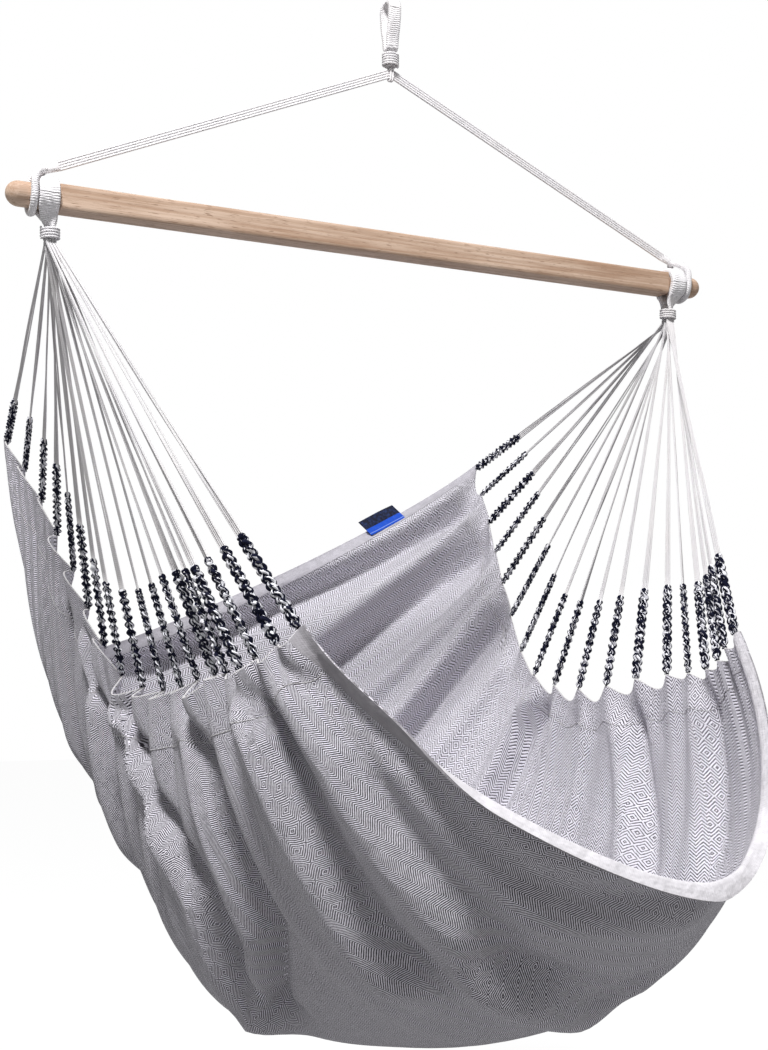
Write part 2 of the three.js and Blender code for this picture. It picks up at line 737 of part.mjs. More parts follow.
// A sheet of one thickness about a grid of places on the folded cloth, columns by rows.
function sheetOver(places, thickness) {
  const columns = places.length;
  const rows = places[0].length;
  const points = [];
  for (const lift of [thickness / 2, -thickness / 2]) {
    for (const [station, reach] of places.flat()) {
      const normal = normalOf(foldedCloth, station, reach);
      points.push(foldedCloth(station, reach).addScaledVector(normal, lift));
    }
  }
  const at = (face, i, j) => (face * columns + i) * rows + j;
  const triangles = [];
  const quad = (a, b, c, d) => triangles.push([a, b, c], [a, c, d]);
  for (let i = 0; i < columns - 1; i++) {
    for (let j = 0; j < rows - 1; j++) {
      quad(at(0, i, j), at(0, i, j + 1), at(0, i + 1, j + 1), at(0, i + 1, j));
      quad(at(1, i, j), at(1, i + 1, j), at(1, i + 1, j + 1), at(1, i, j + 1));
    }
    const last = rows - 1;
    quad(at(0, i, 0), at(0, i + 1, 0), at(1, i + 1, 0), at(1, i, 0));
    quad(at(0, i + 1, last), at(0, i, last), at(1, i, last), at(1, i + 1, last));
  }
  for (let j = 0; j < rows - 1; j++) {
    const last = columns - 1;
    quad(at(1, 0, j + 1), at(0, 0, j + 1), at(0, 0, j), at(1, 0, j));
    quad(at(0, last, j), at(0, last, j + 1), at(1, last, j + 1), at(1, last, j));
  }
  return fromTriangles(points, triangles);
}

function placesOver(stationsAt) {
  const reaches = [];
  for (let j = 0; j <= CLOTH_ROWS; j++) reaches.push((2 * j) / CLOTH_ROWS - 1);
  return stationsAt(0).map((first, i) => reaches.map((reach) => [stationsAt(reach)[i], reach]));
}

function seatCloth() {
  return sheetOver(
    placesOver((reach) => {
      const stations = [seamShare(0, reach)];
      for (let half = 1; half <= 2 * linesPerSide - 3; half++) {
        stations.push(lineStation(half / 2));
      }
      stations.push(1 - seamShare(1, reach));
      return stations;
    }),
    CLOTH_THICKNESS,
  );
}

function edgeBand(edge) {
  return sheetOver(
    placesOver((reach) => {
      const width = bandShare(edge, reach);
      return edge === 0 ? [0, width] : [1 - width, 1];
    }),
    CLOTH_THICKNESS,
  );
}

// Suspension lines

// Where a line leaves the throat: row by row from the back, packed like stacked pipes.
function placeInThroat(count) {
  let row = 0;
  let before = 0;
  while (count - before >= LINE_ROWS[row]) {
    before += LINE_ROWS[row];
    row++;
  }
  const pitch = 2 * LINE_RADIUS + LINE_GAP;
  const rowPitch = (pitch * Math.sqrt(3)) / 2;
  const inwards = (count - before - (LINE_ROWS[row] - 1) / 2) * pitch;
  return {
    inwards,
    behind: ((LINE_ROWS.length - 1) / 2 - row) * rowPitch,
    run: LINE_RUN * LINE_RUN_SHARES[row],
  };
}

function suspensionLine(side, count) {
  const place = placeInThroat(count);
  const top = new THREE.Vector3(
    side * (throatX - place.inwards),
    place.behind,
    -BAR_DROP - THROAT_FOOT - TOUCH_GAP,
  );
  const seat = foldedCloth(lineStation(count), side);
  const corner = top.clone().setZ(top.z - place.run);
  const down = new THREE.Vector3().subVectors(seat, corner).normalize();
  const tip = seat
    .clone()
    .addScaledVector(down, -(CLOTH_THICKNESS / 2 + PLAIT_SEAT_GAP));
  const back = (length) => tip.clone().addScaledVector(down, -length);
  const bend = new THREE.QuadraticBezierCurve3(
    corner.clone().setZ(corner.z + LINE_BEND),
    corner,
    corner.clone().addScaledVector(down, LINE_BEND),
  );
  const points = [
    top,
    ...bend.getPoints(2),
    back(PLAIT_LENGTH),
    back(PLAIT_LENGTH - PLAIT_TAPER),
    back(PLAIT_TAPER),
    tip,
  ];
  const radii = [
    LINE_RADIUS,
    LINE_RADIUS,
    LINE_RADIUS,
    LINE_RADIUS,
    LINE_RADIUS,
    PLAIT_RADIUS,
    PLAIT_RADIUS,
    PLAIT_TIP_RADIUS,
  ];
  return cordAlong(points, radii, CORD_SIDES);
}

// Label

function label() {
  const place = foldedCloth(0, LABEL_PLACE_SHARE);
  const along = new THREE.Vector3()
    .subVectors(
      foldedCloth(0, LABEL_PLACE_SHARE + DERIVATIVE_STEP),
      foldedCloth(0, LABEL_PLACE_SHARE - DERIVATIVE_STEP),
    )
    .normalize();
  const down = new THREE.Vector3()
    .subVectors(foldedCloth(DERIVATIVE_STEP, LABEL_PLACE_SHARE), place)
    .normalize();
  const facing = new THREE.Vector3().crossVectors(down, along).normalize();
  if (facing.y > 0) facing.negate();
  const up = new THREE.Vector3().crossVectors(facing, along).normalize();
  if (up.z < 0) up.negate();
  const tab = new THREE.BoxGeometry(LABEL_LENGTH, LABEL_HEIGHT, LABEL_THICKNESS);
  const lift = CLOTH_THICKNESS / 2 + TOUCH_GAP + LABEL_THICKNESS / 2;
  const rise = LABEL_HEIGHT * (LABEL_STANDING_SHARE - 1 / 2);
  const centre = place.clone().addScaledVector(facing, lift).addScaledVector(up, rise);
  const turned = new THREE.Matrix4().makeBasis(
    new THREE.Vector3().crossVectors(up, facing).normalize(),
    up,
    facing,
  );
  return tab.applyMatrix4(turned.setPosition(centre));
}

// The chair, from the hook down

const whiteCord = cotton(WHITE_CORD);
addPiece("hanging_loop", hangingLoop(), whiteCord);
addPiece(
  "loop_neck",
  uprightCylinder(NECK_RADIUS, NECK_RADIUS, neckTop, neckFoot),
  whiteCord,
);
addPiece(
  "loop_seizing",
  uprightWinding(
    "loop_seizing",
    NECK_RADIUS,
    SEIZING_CORD_RADIUS,
    SEIZING_PITCH,
    SEIZING_TURNS,
    (neckTop + neckFoot) / 2,
  ),
  whiteCord,
);

// The hitch follows a flattened ring round the cord stack and steps along X from turn to turn.
function crownHitch() {
  const across = BRIDLE_CORD_RADIUS + TOUCH_GAP + HITCH_CORD_RADIUS;
  const high = hitchTop - HITCH_CORD_RADIUS;
  const low = crownFoot - HITCH_ROCK_ROOM - HITCH_CORD_RADIUS;
  const middle = (high + low) / 2;
  const straight = (high - low) / 2 - across;
  return winding("crown_hitch", HITCH_TURNS, HITCH_CORD_RADIUS, (turn) => {
    const angle = 2 * Math.PI * turn;
    const stretch = Math.sign(Math.cos(angle)) * Math.min(Math.abs(Math.cos(angle)) * 2, 1);
    return new THREE.Vector3(
      (turn - HITCH_TURNS / 2) * HITCH_PITCH,
      across * Math.sin(angle),
      middle + straight * stretch + across * Math.cos(angle),
    );
  });
}

addPiece("crown_hitch", crownHitch(), whiteCord);
for (let i = 0; i < BRIDLE_CORDS; i++) {
  addPiece("bridle_cord_" + (i + 1), bridleCord(i), whiteCord);
}
addPiece("spreader_bar", spreaderBar(), wood);

for (const [sideName, side] of [
  ["left", -1],
  ["right", 1],
]) {
  addPiece("bridle_end_loop_" + sideName, bridleEndLoop(side), whiteCord);
  addPiece("harness_loop_" + sideName, harnessLoop(side), whiteCord);
  const whipping = uprightWinding(
    "throat_whipping_" + sideName,
    THROAT_RADIUS,
    WHIPPING_CORD_RADIUS,
    WHIPPING_PITCH,
    WHIPPING_TURNS,
    whippingMiddle,
  );
  addPiece(
    "throat_whipping_" + sideName,
    whipping.translate(side * throatX, 0, -BAR_DROP),
    whiteCord,
  );
  for (let count = 0; count < linesPerSide; count++) {
    const number = String(count + 1).padStart(2, "0");
    addPiece(
      "suspension_line_" + sideName + "_" + number,
      suspensionLine(side, count),
      cotton(PLAIT_NAVY),
    );
  }
}

addPiece("seat_cloth", seatCloth(), cotton(CLOTH_GREY));
addPiece("back_edge_band", edgeBand(0), cotton(BAND_GREY));
addPiece("front_edge_band", edgeBand(1), cotton(BAND_GREY));
addPiece("label_tab", label(), cotton(LABEL_BLUE));

export default chair;
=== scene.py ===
"""A hammock chair: cotton cloth gathered on plaited cords below a wooden spreader bar.

Lengths are millimetres until a mesh is made. +X runs along the bar, the sitter faces -Y, and
the origin is the inside top of the hanging loop.
"""

import math

import bpy
import numpy as np
from bpy.props import FloatProperty, FloatVectorProperty, PointerProperty
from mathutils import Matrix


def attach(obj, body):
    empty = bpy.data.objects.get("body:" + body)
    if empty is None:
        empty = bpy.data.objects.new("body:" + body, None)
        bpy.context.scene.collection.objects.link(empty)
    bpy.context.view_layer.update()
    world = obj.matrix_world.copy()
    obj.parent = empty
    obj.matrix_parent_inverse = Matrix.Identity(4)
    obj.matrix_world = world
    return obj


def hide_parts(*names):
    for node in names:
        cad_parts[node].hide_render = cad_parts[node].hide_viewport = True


bl_info = {
    "name": "Hammock Chair",
    "version": (1, 0, 0),
    "blender": (4, 5, 0),
    "location": "View3D > Sidebar > Chair",
    "description": "Cotton hammock chair with a spreader bar, served loops and plaited lines",
    "category": "Add Mesh",
}

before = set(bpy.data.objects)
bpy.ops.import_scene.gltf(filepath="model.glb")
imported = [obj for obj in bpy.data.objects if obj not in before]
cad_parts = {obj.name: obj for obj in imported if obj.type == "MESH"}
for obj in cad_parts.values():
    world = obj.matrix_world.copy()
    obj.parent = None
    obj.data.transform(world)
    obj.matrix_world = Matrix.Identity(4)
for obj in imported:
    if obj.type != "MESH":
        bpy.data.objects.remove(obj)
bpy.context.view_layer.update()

METRE = 1000.0
TAU = 2 * math.pi

# Sizes shared with the solids, in millimetres
TOUCH_GAP = 0.3
LOOP_STRAP_WIDTH, LOOP_STRAP_THICKNESS, EYE_WIDTH, LOOP_LENGTH = 20.0, 9.0, 18.0, 68.0
LOOP_HEEL_RADIUS = 9.5
NECK_RADIUS, NECK_LENGTH = 9.2, 20.0
SEIZING_RADIUS, SEIZING_PITCH, SEIZING_TURNS = 1.5, 3.6, 5
HITCH_RADIUS, HITCH_PITCH, HITCH_TURNS, HITCH_ROCK_ROOM = 1.4, 3.4, 2, 1.9
BRIDLE_CORDS, BRIDLE_RADIUS, BRIDLE_PITCH, CROWN_BEND = 4, 1.5, 3.35, 6.0
BAR_DROP, BAR_LENGTH, BAR_HEIGHT, BAR_DEPTH = 347.0, 1100.0, 33.0, 34.0
TURNED_LENGTH, TURNED_RADIUS, DOME_LENGTH = 67.0, 16.2, 17.0
RUNNING_GAP, HARNESS_WIDTH, HARNESS_THICKNESS = 0.4, 28.0, 10.0
END_LOOP_RADIUS, END_LOOP_CREST, END_LOOP_LEAN, END_LOOP_LEAN_SHARPNESS = 5.0, 35.0, 17.0, 4
END_NECK_LENGTH = 20.0
THROAT_RADIUS, THROAT_FOOT, THROAT_OFFSET = 9.8, 55.0, 5.0
WHIPPING_RADIUS, WHIPPING_PITCH, WHIPPING_TURNS = 1.5, 3.6, 4
LINE_RADIUS, LINE_GAP, LINE_BEND, LINE_RUN = 1.6, 0.35, 3.0, 11.0
LINE_ROWS = (4, 3, 4, 3, 4)
LINE_RUN_SHARES = (0.4, 0.7, 1.0, 0.7, 0.4)
PLAIT_LENGTH, PLAIT_SEAT_GAP = 140.0, 0.7
SEAT_HALF_WIDTH, SEAT_REACH, SEAT_DROP = 433.0, 505.0, 1108.0
CLOTH_THICKNESS, BAND_WIDTH, HEADER_LENGTH, CLOTH_WIDTH = 1.6, 20.0, 1100.0, 1600.0
LABEL_LENGTH, LABEL_HEIGHT, LABEL_THICKNESS = 82.0, 36.0, 1.2
LABEL_STANDING_SHARE, LABEL_PLACE_SHARE = 0.6, 0.709

# Sizes of the looks only, in millimetres
WINDING_WIDTH, WINDING_THICKNESS = 1.2, 0.9  # what a winding adds to its strap
THIN_LAY = 7.0  # of the cord in the windings and the hitch
STRAP_RIDGE, STRAP_KNOT, STRAP_SIDES = 0.55, 1.3, 36
RING_RIDGE, RING_KNOT, RING_SIDES = 0.5, 0.9, 20
END_NECK_START, END_NECK_WIDENS, END_NECK_FLATTENS = 4.6, 1.9, 1.6
SHOULDER_EASE, BAR_SQUARENESS = 1.4, 12
HARNESS_LEAVES = math.radians(142)  # from the bar's top to where its strap bends in
HARNESS_PULL, HARNESS_END = 14.0, (3.4, 7.0)
HARNESS_TAPER_TOP, HARNESS_TAPER, HARNESS_NARROWS, HARNESS_THINS = 15.0, 26.0, 10.5, 4.0
THIN_CORDS, THIN_SPREAD = 4, 3.2
STRANDS, KNOB_LENGTH = 3, 9.0
STITCH, STITCH_RISE = 4.5, 0.45
BAND_EXTRA = 1.3  # how much thicker than the cloth
HEM_REACHES = (0.905, 0.93)  # of the hems' seams, on the left and on the right
WEAVE_ROWS = 12  # on each side, over which the weave takes up what the folds use
WEAVE_EVEN = 0.6  # how far the weave keeps to even spaces on the cloth
LABEL_LEAN, LABEL_CLEARANCE = 7.0, 1.6

# The cloth's hang, as shares of its half width, reach and drop, from the back to the front edge
STATION_SHARES = np.array([0, 0.126, 0.261, 0.447, 0.588, 0.739, 0.886, 1])
HEADER_SHARES = np.array(
    [
        [1.036, 1.07, 0.208],
        [0.968, 0.843, 0.306],
        [0.903, 0.642, 0.417],
        [0.837, 0.345, 0.558],
        [0.803, 0.028, 0.579],
        [0.808, -0.304, 0.562],
        [0.804, -0.604, 0.548],
        [0.721, -0.786, 0.505],
    ]
)
KEEL_SHARES = np.array(
    [
        [-0.705, 0.845, 0.519],
        [-0.568, 0.867, 0.655],
        [-0.359, 0.8, 0.786],
        [-0.15, 0.463, 0.927],
        [-0.055, 0.071, 1.004],
        [-0.002, -0.386, 1.002],
        [0.052, -0.893, 0.909],
        [0.15, -1.328, 0.751],
    ]
)
LEFT_SQUARENESS = np.array([1.6, 3.2, 2.75, 2.4, 3.3, 2.1, 1.95, 1.46])
RIGHT_SQUARENESS = np.array([1.09, 1.29, 1.3, 1.81, 2.13, 2.03, 2.27, 1.37])
FOLD_FADE = 1.6
SCALLOP_SPAN = 0.3

# Where the lines meet the header, as shares of the run from the first line to the last
LINE_PLACES = np.array(
    [0, 0.062, 0.127, 0.19, 0.256, 0.32, 0.388, 0.452, 0.52]
    + [0.588, 0.655, 0.722, 0.79, 0.835, 0.878, 0.92, 0.96, 1]
)
LINES_PER_SIDE = len(LINE_PLACES)

# The cloth's long creases: depth in millimetres towards the sitter, half width as a share of
# the run, and the places (reach, station) that each passes
CREASES = (
    (18, 0.018, ((-0.95, 0.283), (-0.75, 0.281), (-0.6, 0.283))),
    (24, 0.018, ((-0.97, 0.362), (-0.89, 0.442), (-0.78, 0.454), (-0.6, 0.463))),
    (27, 0.018, ((-0.97, 0.5), (-0.905, 0.551), (-0.83, 0.599), (-0.73, 0.666), (-0.645, 0.691),
        (-0.45, 0.68))),
    (28, 0.018, ((-0.97, 0.731), (-0.877, 0.753), (-0.769, 0.766), (-0.661, 0.77),
        (-0.553, 0.763), (-0.4, 0.69))),
    (32, 0.015, ((-0.95, 0.897), (-0.86, 0.912), (-0.75, 0.909), (-0.64, 0.901), (-0.53, 0.891),
        (-0.38, 0.878))),
    (24, 0.014, ((-0.87, 0.969), (-0.74, 0.966), (-0.61, 0.955), (-0.48, 0.945), (-0.35, 0.937),
        (-0.22, 0.916), (-0.09, 0.905), (0.06, 0.886))),
    (12, 0.011, ((-0.86, 0.985), (-0.64, 0.982), (-0.43, 0.966), (-0.32, 0.964), (-0.21, 0.967),
        (-0.1, 0.977), (0, 0.985))),
    (10, 0.011, ((-0.22, 0.911), (-0.05, 0.914), (0.12, 0.904))),
    (-42, 0.021, ((0.1, 0.04), (0.38, 0.033), (0.56, 0.041), (0.78, 0.05), (0.97, 0.062))),
    (-46, 0.027, ((0.1, 0.14), (0.42, 0.133), (0.62, 0.122), (0.78, 0.12), (0.98, 0.135))),
    (20, 0.022, ((0.2, 0.2), (0.51, 0.212), (0.69, 0.204), (0.87, 0.207), (0.97, 0.21))),
    (-40, 0.017, ((0.5, 0.302), (0.57, 0.297), (0.73, 0.285), (0.85, 0.28), (0.98, 0.287))),
    (12, 0.02, ((0.5, 0.345), (0.66, 0.337), (0.83, 0.337), (0.98, 0.355))),
    (-30, 0.017, ((0.6, 0.46), (0.74, 0.455), (0.85, 0.458), (0.97, 0.482))),
    (-24, 0.018, ((0.62, 0.765), (0.71, 0.75), (0.835, 0.72), (0.96, 0.699))),
    (-15, 0.018, ((0.66, 0.862), (0.74, 0.861), (0.86, 0.859), (0.98, 0.866))),
    (10, 0.012, ((0.6, 0.513), (0.8, 0.517), (0.97, 0.522))),
    (10, 0.012, ((0.6, 0.602), (0.8, 0.6), (0.97, 0.599))),
)
CREASE_EASE = 0.14  # of the reach, at both ends of a crease
BACK_EASE = 0.035  # of the stations, at the back edge
CREASE_CALM = 0.8  # how much a long crease lowers the bulges beside it
HEADER_HOLD = 0.1  # of the reach, where the header takes up the creases
LIP_STARTS, LIP_GROWS, LIP_FALLS_FROM, LIP_FALLS, LIP_FALL = -0.8, 0.36, 0.05, 0.4, 0.7
EDGE_STEP = 0.02  # of the stations, for the way in from an edge
WIDEST_BAND = 0.036  # of the stations

SHOULDER = BAR_LENGTH / 2 - TURNED_LENGTH
HARNESS_INNER = TURNED_RADIUS + RUNNING_GAP
HARNESS_MIDDLE = SHOULDER + TOUCH_GAP + HARNESS_WIDTH / 2
THROAT_X = HARNESS_MIDDLE - THROAT_OFFSET
END_LOOP_INNER = HARNESS_INNER + END_LOOP_RADIUS
END_LOOP_X = HARNESS_MIDDLE + HARNESS_WIDTH / 2 + TOUCH_GAP + END_LOOP_RADIUS
NECK_TOP = -LOOP_LENGTH - TOUCH_GAP
NECK_FOOT = NECK_TOP - NECK_LENGTH
HITCH_TOP = NECK_FOOT - TOUCH_GAP
CROWN_TOP = HITCH_TOP - 2 * HITCH_RADIUS - TOUCH_GAP


def linear(code):
    """An sRGB hex colour as linear RGB: ((c + 0.055) / 1.055) ** 2.4, or c / 12.92 near black."""
    parts = [int(code[i : i + 2], 16) / 255 for i in (1, 3, 5)]
    return tuple(((c + 0.055) / 1.055) ** 2.4 if c > 0.04045 else c / 12.92 for c in parts)


def tint(name, description, code):
    """A colour in the sidebar, from its sRGB hex value."""
    return FloatVectorProperty(
        name=name, description=description, subtype="COLOR", default=linear(code)
    )


def size(name, description, default, least=0.0, **more):
    """A number in the sidebar."""
    return FloatProperty(name=name, description=description, default=default, min=least, **more)


class ChairCords(bpy.types.PropertyGroup):
    """White cotton cord"""

    colour: tint("Cord", "Bleached cotton", "#EDEBED")
    # shade is a painted shade: the cord's colour in the grooves between its yarns
    shade: tint("Cord shade", "Grooves of the cord", "#D0CDD1")
    serving_pitch: size("Serving pitch", "Between two turns of a served loop, mm", 2.7, 1.0)
    lay: size("Lay", "Length of one twist of the bridle cords, mm", 16.0, 4.0)


class ChairPlaits(bpy.types.PropertyGroup):
    """Two-colour plaits at the ends of the lines"""

    dark: tint("Dark yarn", "Navy cotton", "#101226")
    light: tint("Light yarn", "Off-white cotton", "#F2F2F8")
    width: size("Width", "Width of a plait, mm", 17.0, 4.0)
    fleck: size("Fleck", "Length of two flecks, mm", 8.0, 1.0)
    ply: size("Ply", "Length of one twist of a strand, mm", 24.0, 3.0)
    period: size("Period", "Length of one full crossing of a plait, mm", 34.0, 8.0)


class ChairCloth(bpy.types.PropertyGroup):
    """Two-colour cotton twill"""

    dark: tint("Dark yarn", "Grey weft", "#38343D")
    light: tint("Light yarn", "Off-white warp", "#ECE9F2")
    band: tint("Edge band", "Inner face of the selvedge", "#DFDCE1")
    # The selvedge's outer face: the same white tape as its inner face, darkened as painted shade
    band_outer_shaded: tint("Band's back", "Outer face of the selvedge", "#98959A")
    # The back selvedge's inner face is greyer than the front selvedge's
    back_band_grey: tint("Grey back band", "Inner face of the back selvedge", "#BDBAC2")
    twill_pitch: size("Twill pitch", "Between two twill lines along a thread, mm", 3.0, 1.0)
    column: size("Column", "Width of one herringbone column, mm", 10.0, 4.0)
    fold_depth: size("Fold depth", "Half the height of the gathers, mm", 14.0)
    scallop_depth: size("Scallop depth", "Sag of the header between lines, mm", 20.0)
    lip: size("Lip", "Width of the front edge that curls outwards, mm", 19.0, 1.0)
    lip_angle: size("Lip angle", "How far the front edge curls over, degrees", 110.0)


class ChairBar(bpy.types.PropertyGroup):
    """Hardwood bar"""

    light: tint("Early wood", "Pale growth", "#CFB6A2")
    dark: tint("Late wood", "Dark growth and pores", "#A2826A")


class ChairStage(bpy.types.PropertyGroup):
    """Studio"""

    floor: tint("Floor", "Pale floor", "#C2C2C2")
    key: size("Key", "Soft light from high on the front left", 185.0, unit="POWER")
    fill: size("Fill", "Fill light from the right", 8.0, unit="POWER")
    sky: size("Sky", "Even light from all round", 0.24)


# Nodes and materials

TIMES = {"operation": "MULTIPLY"}
TIMES_PLUS = {"operation": "MULTIPLY_ADD"}
SMOOTH = {"interpolation_type": "SMOOTHSTEP"}  # Map Range: 0 below the low end, 1 above the high
COLOURS = {"data_type": "RGBA", "out": 2}  # Mix: input 0 goes from the colour 6 to the colour 7
SOIL = np.array([0.97, 0.95, 0.92])


def add_node(tree, kind, inputs=(), out=0, **settings):
    """Adds one node and gives one of its outputs. settings are its own properties. inputs are
    its sockets, in order or by name, each a socket to link or a value to set."""
    node = tree.nodes.new("ShaderNode" + kind)
    for key, value in settings.items():
        setattr(node, key, value)
    for key, given in inputs.items() if isinstance(inputs, dict) else enumerate(inputs):
        if isinstance(given, bpy.types.NodeSocket):
            tree.links.new(given, node.inputs[key])
        else:
            node.inputs[key].default_value = given
    return node.outputs[out] if node.outputs else None


def rgba(colour, tone=1.0):
    return (*(np.array(colour) * tone), 1.0)


def new_material(name):
    """An empty node material and its tree."""
    material = bpy.data.materials.new(name)
    material.use_nodes = True
    material.node_tree.nodes.clear()
    return material, material.node_tree


def flat_sockets(tree):
    """The piece's own flat coordinates, in metres."""
    flat = add_node(tree, "UVMap", uv_map="flat")
    return list(add_node(tree, "SeparateXYZ", (flat,)).node.outputs)[:2]


def ripple(tree, value, waves=1.0):
    """sin(2 pi * waves * value)"""
    angle = add_node(tree, "Math", (value, TAU * waves), **TIMES)
    return add_node(tree, "Math", (angle,), operation="SINE")


def object_noise(tree, size_mm, stretch=(1, 1, 1), detail=4.0, roughness=0.6):
    """Noise on the piece's place, with features of a size in millimetres, stretched by axis."""
    place = add_node(tree, "TexCoord", out="Object")
    scale = tuple(METRE / size_mm / s for s in stretch)
    scaled = add_node(tree, "Mapping", {"Vector": place, "Scale": scale})
    values = {"Vector": scaled, "Scale": 1.0, "Detail": detail, "Roughness": roughness}
    return add_node(tree, "TexNoise", values)


def bump(tree, *layers):
    """Bump layers one on another, each a height socket and the millimetres that it stands for."""
    below = {}
    for height, depth_mm in layers:
        values = {"Height": height, "Distance": depth_mm / METRE, **below}
        below = {"Normal": add_node(tree, "Bump", values)}
    return below["Normal"]


def graded(tree, value, low, high, start, end, share=1.0):
    """A colour that goes smoothly from start to end, or a share of the way, as the value goes
    from low to high."""
    factor = add_node(tree, "MapRange", (value, low, high), **SMOOTH)
    if share < 1:
        factor = add_node(tree, "Math", (factor, share), **TIMES)
    return add_node(tree, "Mix", {0: factor, 6: start, 7: end}, **COLOURS)


def finished(material, colour, normal, values):
    """The material with a Principled surface of this colour and normal, and these values."""
    tree = material.node_tree
    surface = {"Base Color": colour, "Normal": normal, **values}
    add_node(tree, "OutputMaterial", (add_node(tree, "BsdfPrincipled", surface),))
    return material


def cotton_cord_material(cords, name, yarns, yarn_lay_mm, depth_mm, tone=1.0):
    """Bleached cotton cord, twisted: matt, soft, with painted shade in the grooves between its
    yarns.
    Yarns cross the cord as sin(2 pi (along / lay + yarns * round))."""
    material, tree = new_material(name)
    along, around = flat_sockets(tree)
    turns = add_node(tree, "Math", (along, METRE / yarn_lay_mm), **TIMES)
    phase = add_node(tree, "Math", (around, float(yarns), turns), **TIMES_PLUS)
    fuzz = object_noise(tree, 1.6, detail=3.0)
    height = add_node(tree, "Math", (fuzz, 1.2, ripple(tree, phase)), **TIMES_PLUS)
    shade, light = rgba(cords.shade, tone), rgba(cords.colour, tone)
    # Painted shade: the colour darkens where the yarns dip into a groove
    colour = graded(tree, height, -0.7, 0.9, shade, light)
    slow = object_noise(tree, 60.0, detail=2.0)
    soiled = rgba(cords.colour, tone * SOIL)
    colour = graded(tree, slow, 0.3, 0.75, colour, soiled, 0.5)
    normal = bump(tree, (height, depth_mm))
    return finished(material, colour, normal, {"Roughness": 0.88, "Sheen Weight": 0.25})


def plait_material(plaits):
    """Navy and off-white cotton yarns plied together: off-white flecks, twice as long as they
    are wide, lie along each strand where a noise on (along, round) is high."""
    material, tree = new_material("plied_two_colour_cotton")
    along, around = flat_sockets(tree)
    turns = add_node(tree, "Math", (along, METRE / plaits.ply), **TIMES)
    wave = ripple(tree, add_node(tree, "Math", (around, 3.0, turns), **TIMES_PLUS))
    aside = add_node(tree, "SeparateXYZ", (add_node(tree, "TexCoord", out="Object"),))
    scales = ((along, METRE / plaits.fleck), (around, 5.0), (aside, METRE / 12.0))
    spot = add_node(
        tree, "CombineXYZ", [add_node(tree, "Math", pair, **TIMES) for pair in scales]
    )
    patch = add_node(tree, "TexNoise", {"Vector": spot, "Scale": 1.0, "Detail": 1.0})
    height = add_node(tree, "Math", (wave, 0.04, patch), **TIMES_PLUS)
    colour = graded(tree, height, 0.54, 0.57, rgba(plaits.dark), rgba(plaits.light))
    normal = bump(tree, (wave, 0.5))
    return finished(material, colour, normal, {"Roughness": 0.95, "Specular IOR Level": 0.15})


def twill_material(cloth, name, low, high, coarser=1.0):
    """Cotton twill of a grey weft and an off-white warp, which shows more of the warp on one
    face. The twill lines are sin(2 pi (along + zigzag(across)) / pitch), drawn a little coarser
    than the thread so that they show, and coarser again on the far, inner face. Some columns
    turn back along the thread as well, which gives diamonds."""
    material, tree = new_material(name)
    across, along = flat_sockets(tree)
    column, pitch = cloth.column / METRE, cloth.twill_pitch * coarser / METRE
    zigzag = add_node(tree, "Math", (across, column), operation="PINGPONG")
    back = add_node(tree, "Math", (along, 2 * column), operation="PINGPONG")
    stripe = ripple(tree, across, 1 / (9.5 * 2 * column))
    diamonds = add_node(tree, "Math", (stripe, 0.55), operation="GREATER_THAN")
    turned = add_node(tree, "Math", (back, along), operation="SUBTRACT")
    run = add_node(tree, "Math", (turned, diamonds, along), **TIMES_PLUS)
    place = add_node(tree, "Math", (run, zigzag), operation="ADD")
    phase = add_node(tree, "Math", (place, pitch), operation="DIVIDE")
    slub = add_node(
        tree, "Math", (object_noise(tree, 9.0, detail=2.0), 0.5, phase), **TIMES_PLUS
    )
    thread = object_noise(tree, 2.4, detail=2.0, roughness=0.7)
    mixed = add_node(tree, "Math", (thread, 2.0, ripple(tree, slub)), **TIMES_PLUS)
    colour = graded(tree, mixed, low, high, rgba(cloth.dark), rgba(cloth.light))
    slow = object_noise(tree, 170.0, detail=3.0)
    colour = graded(tree, slow, 0.35, 0.7, colour, rgba(cloth.light, 0.62), 0.2)
    wrinkle = object_noise(tree, 38.0, detail=4.0, roughness=0.55)
    normal = bump(tree, (wrinkle, 5.0), (mixed, 0.3))
    return finished(material, colour, normal, {"Roughness": 0.92, "Sheen Weight": 0.1})


def band_material(name, colour):
    """Plain-woven selvedge: one yarn both ways, with a faint rib, and creases worn into it."""
    material, tree = new_material(name)
    across, along = flat_sockets(tree)
    ribs = (ripple(tree, along, METRE / 3.0), ripple(tree, across, METRE / 4.0))
    weave = add_node(tree, "Math", ribs, operation="ADD")
    wear = object_noise(tree, 14.0, detail=5.0, roughness=0.7)
    worn = add_node(tree, "Math", (weave, 0.03, wear), **TIMES_PLUS)
    colour = graded(tree, worn, 0.35, 0.65, rgba(colour, 0.84), rgba(colour))
    wrinkle = object_noise(tree, 26.0, detail=3.0)
    normal = bump(tree, (wrinkle, 5.0), (weave, 0.06), (wear, 0.8))
    return finished(material, colour, normal, {"Roughness": 0.9})


def wood_material(bar):
    """Sawn and sanded hardwood, oiled thin: long streaks of grain along the bar, short dark
    pores, and a slow change of tone along it."""
    material, tree = new_material("oiled_hardwood")
    grain = object_noise(tree, 3.2, stretch=(60, 1, 1), detail=6.0, roughness=0.68)
    figure = object_noise(tree, 30.0, stretch=(7, 1, 1), detail=3.0)
    pores = object_noise(tree, 1.3, stretch=(14, 1, 1), detail=2.0)
    tone = add_node(tree, "Math", (figure, 0.8, grain), **TIMES_PLUS)
    colour = graded(tree, tone, 0.6, 1.15, rgba(bar.dark), rgba(bar.light))
    pored = add_node(tree, "MapRange", (pores, 0.3, 0.42), **SMOOTH)
    dotted = {0: pored, 6: rgba(bar.dark, 0.8), 7: colour}
    colour = add_node(tree, "Mix", dotted, **COLOURS)
    normal = bump(tree, (grain, 0.4), (pored, 0.1))
    return finished(material, colour, normal, {"Roughness": 0.6, "IOR": 1.45})


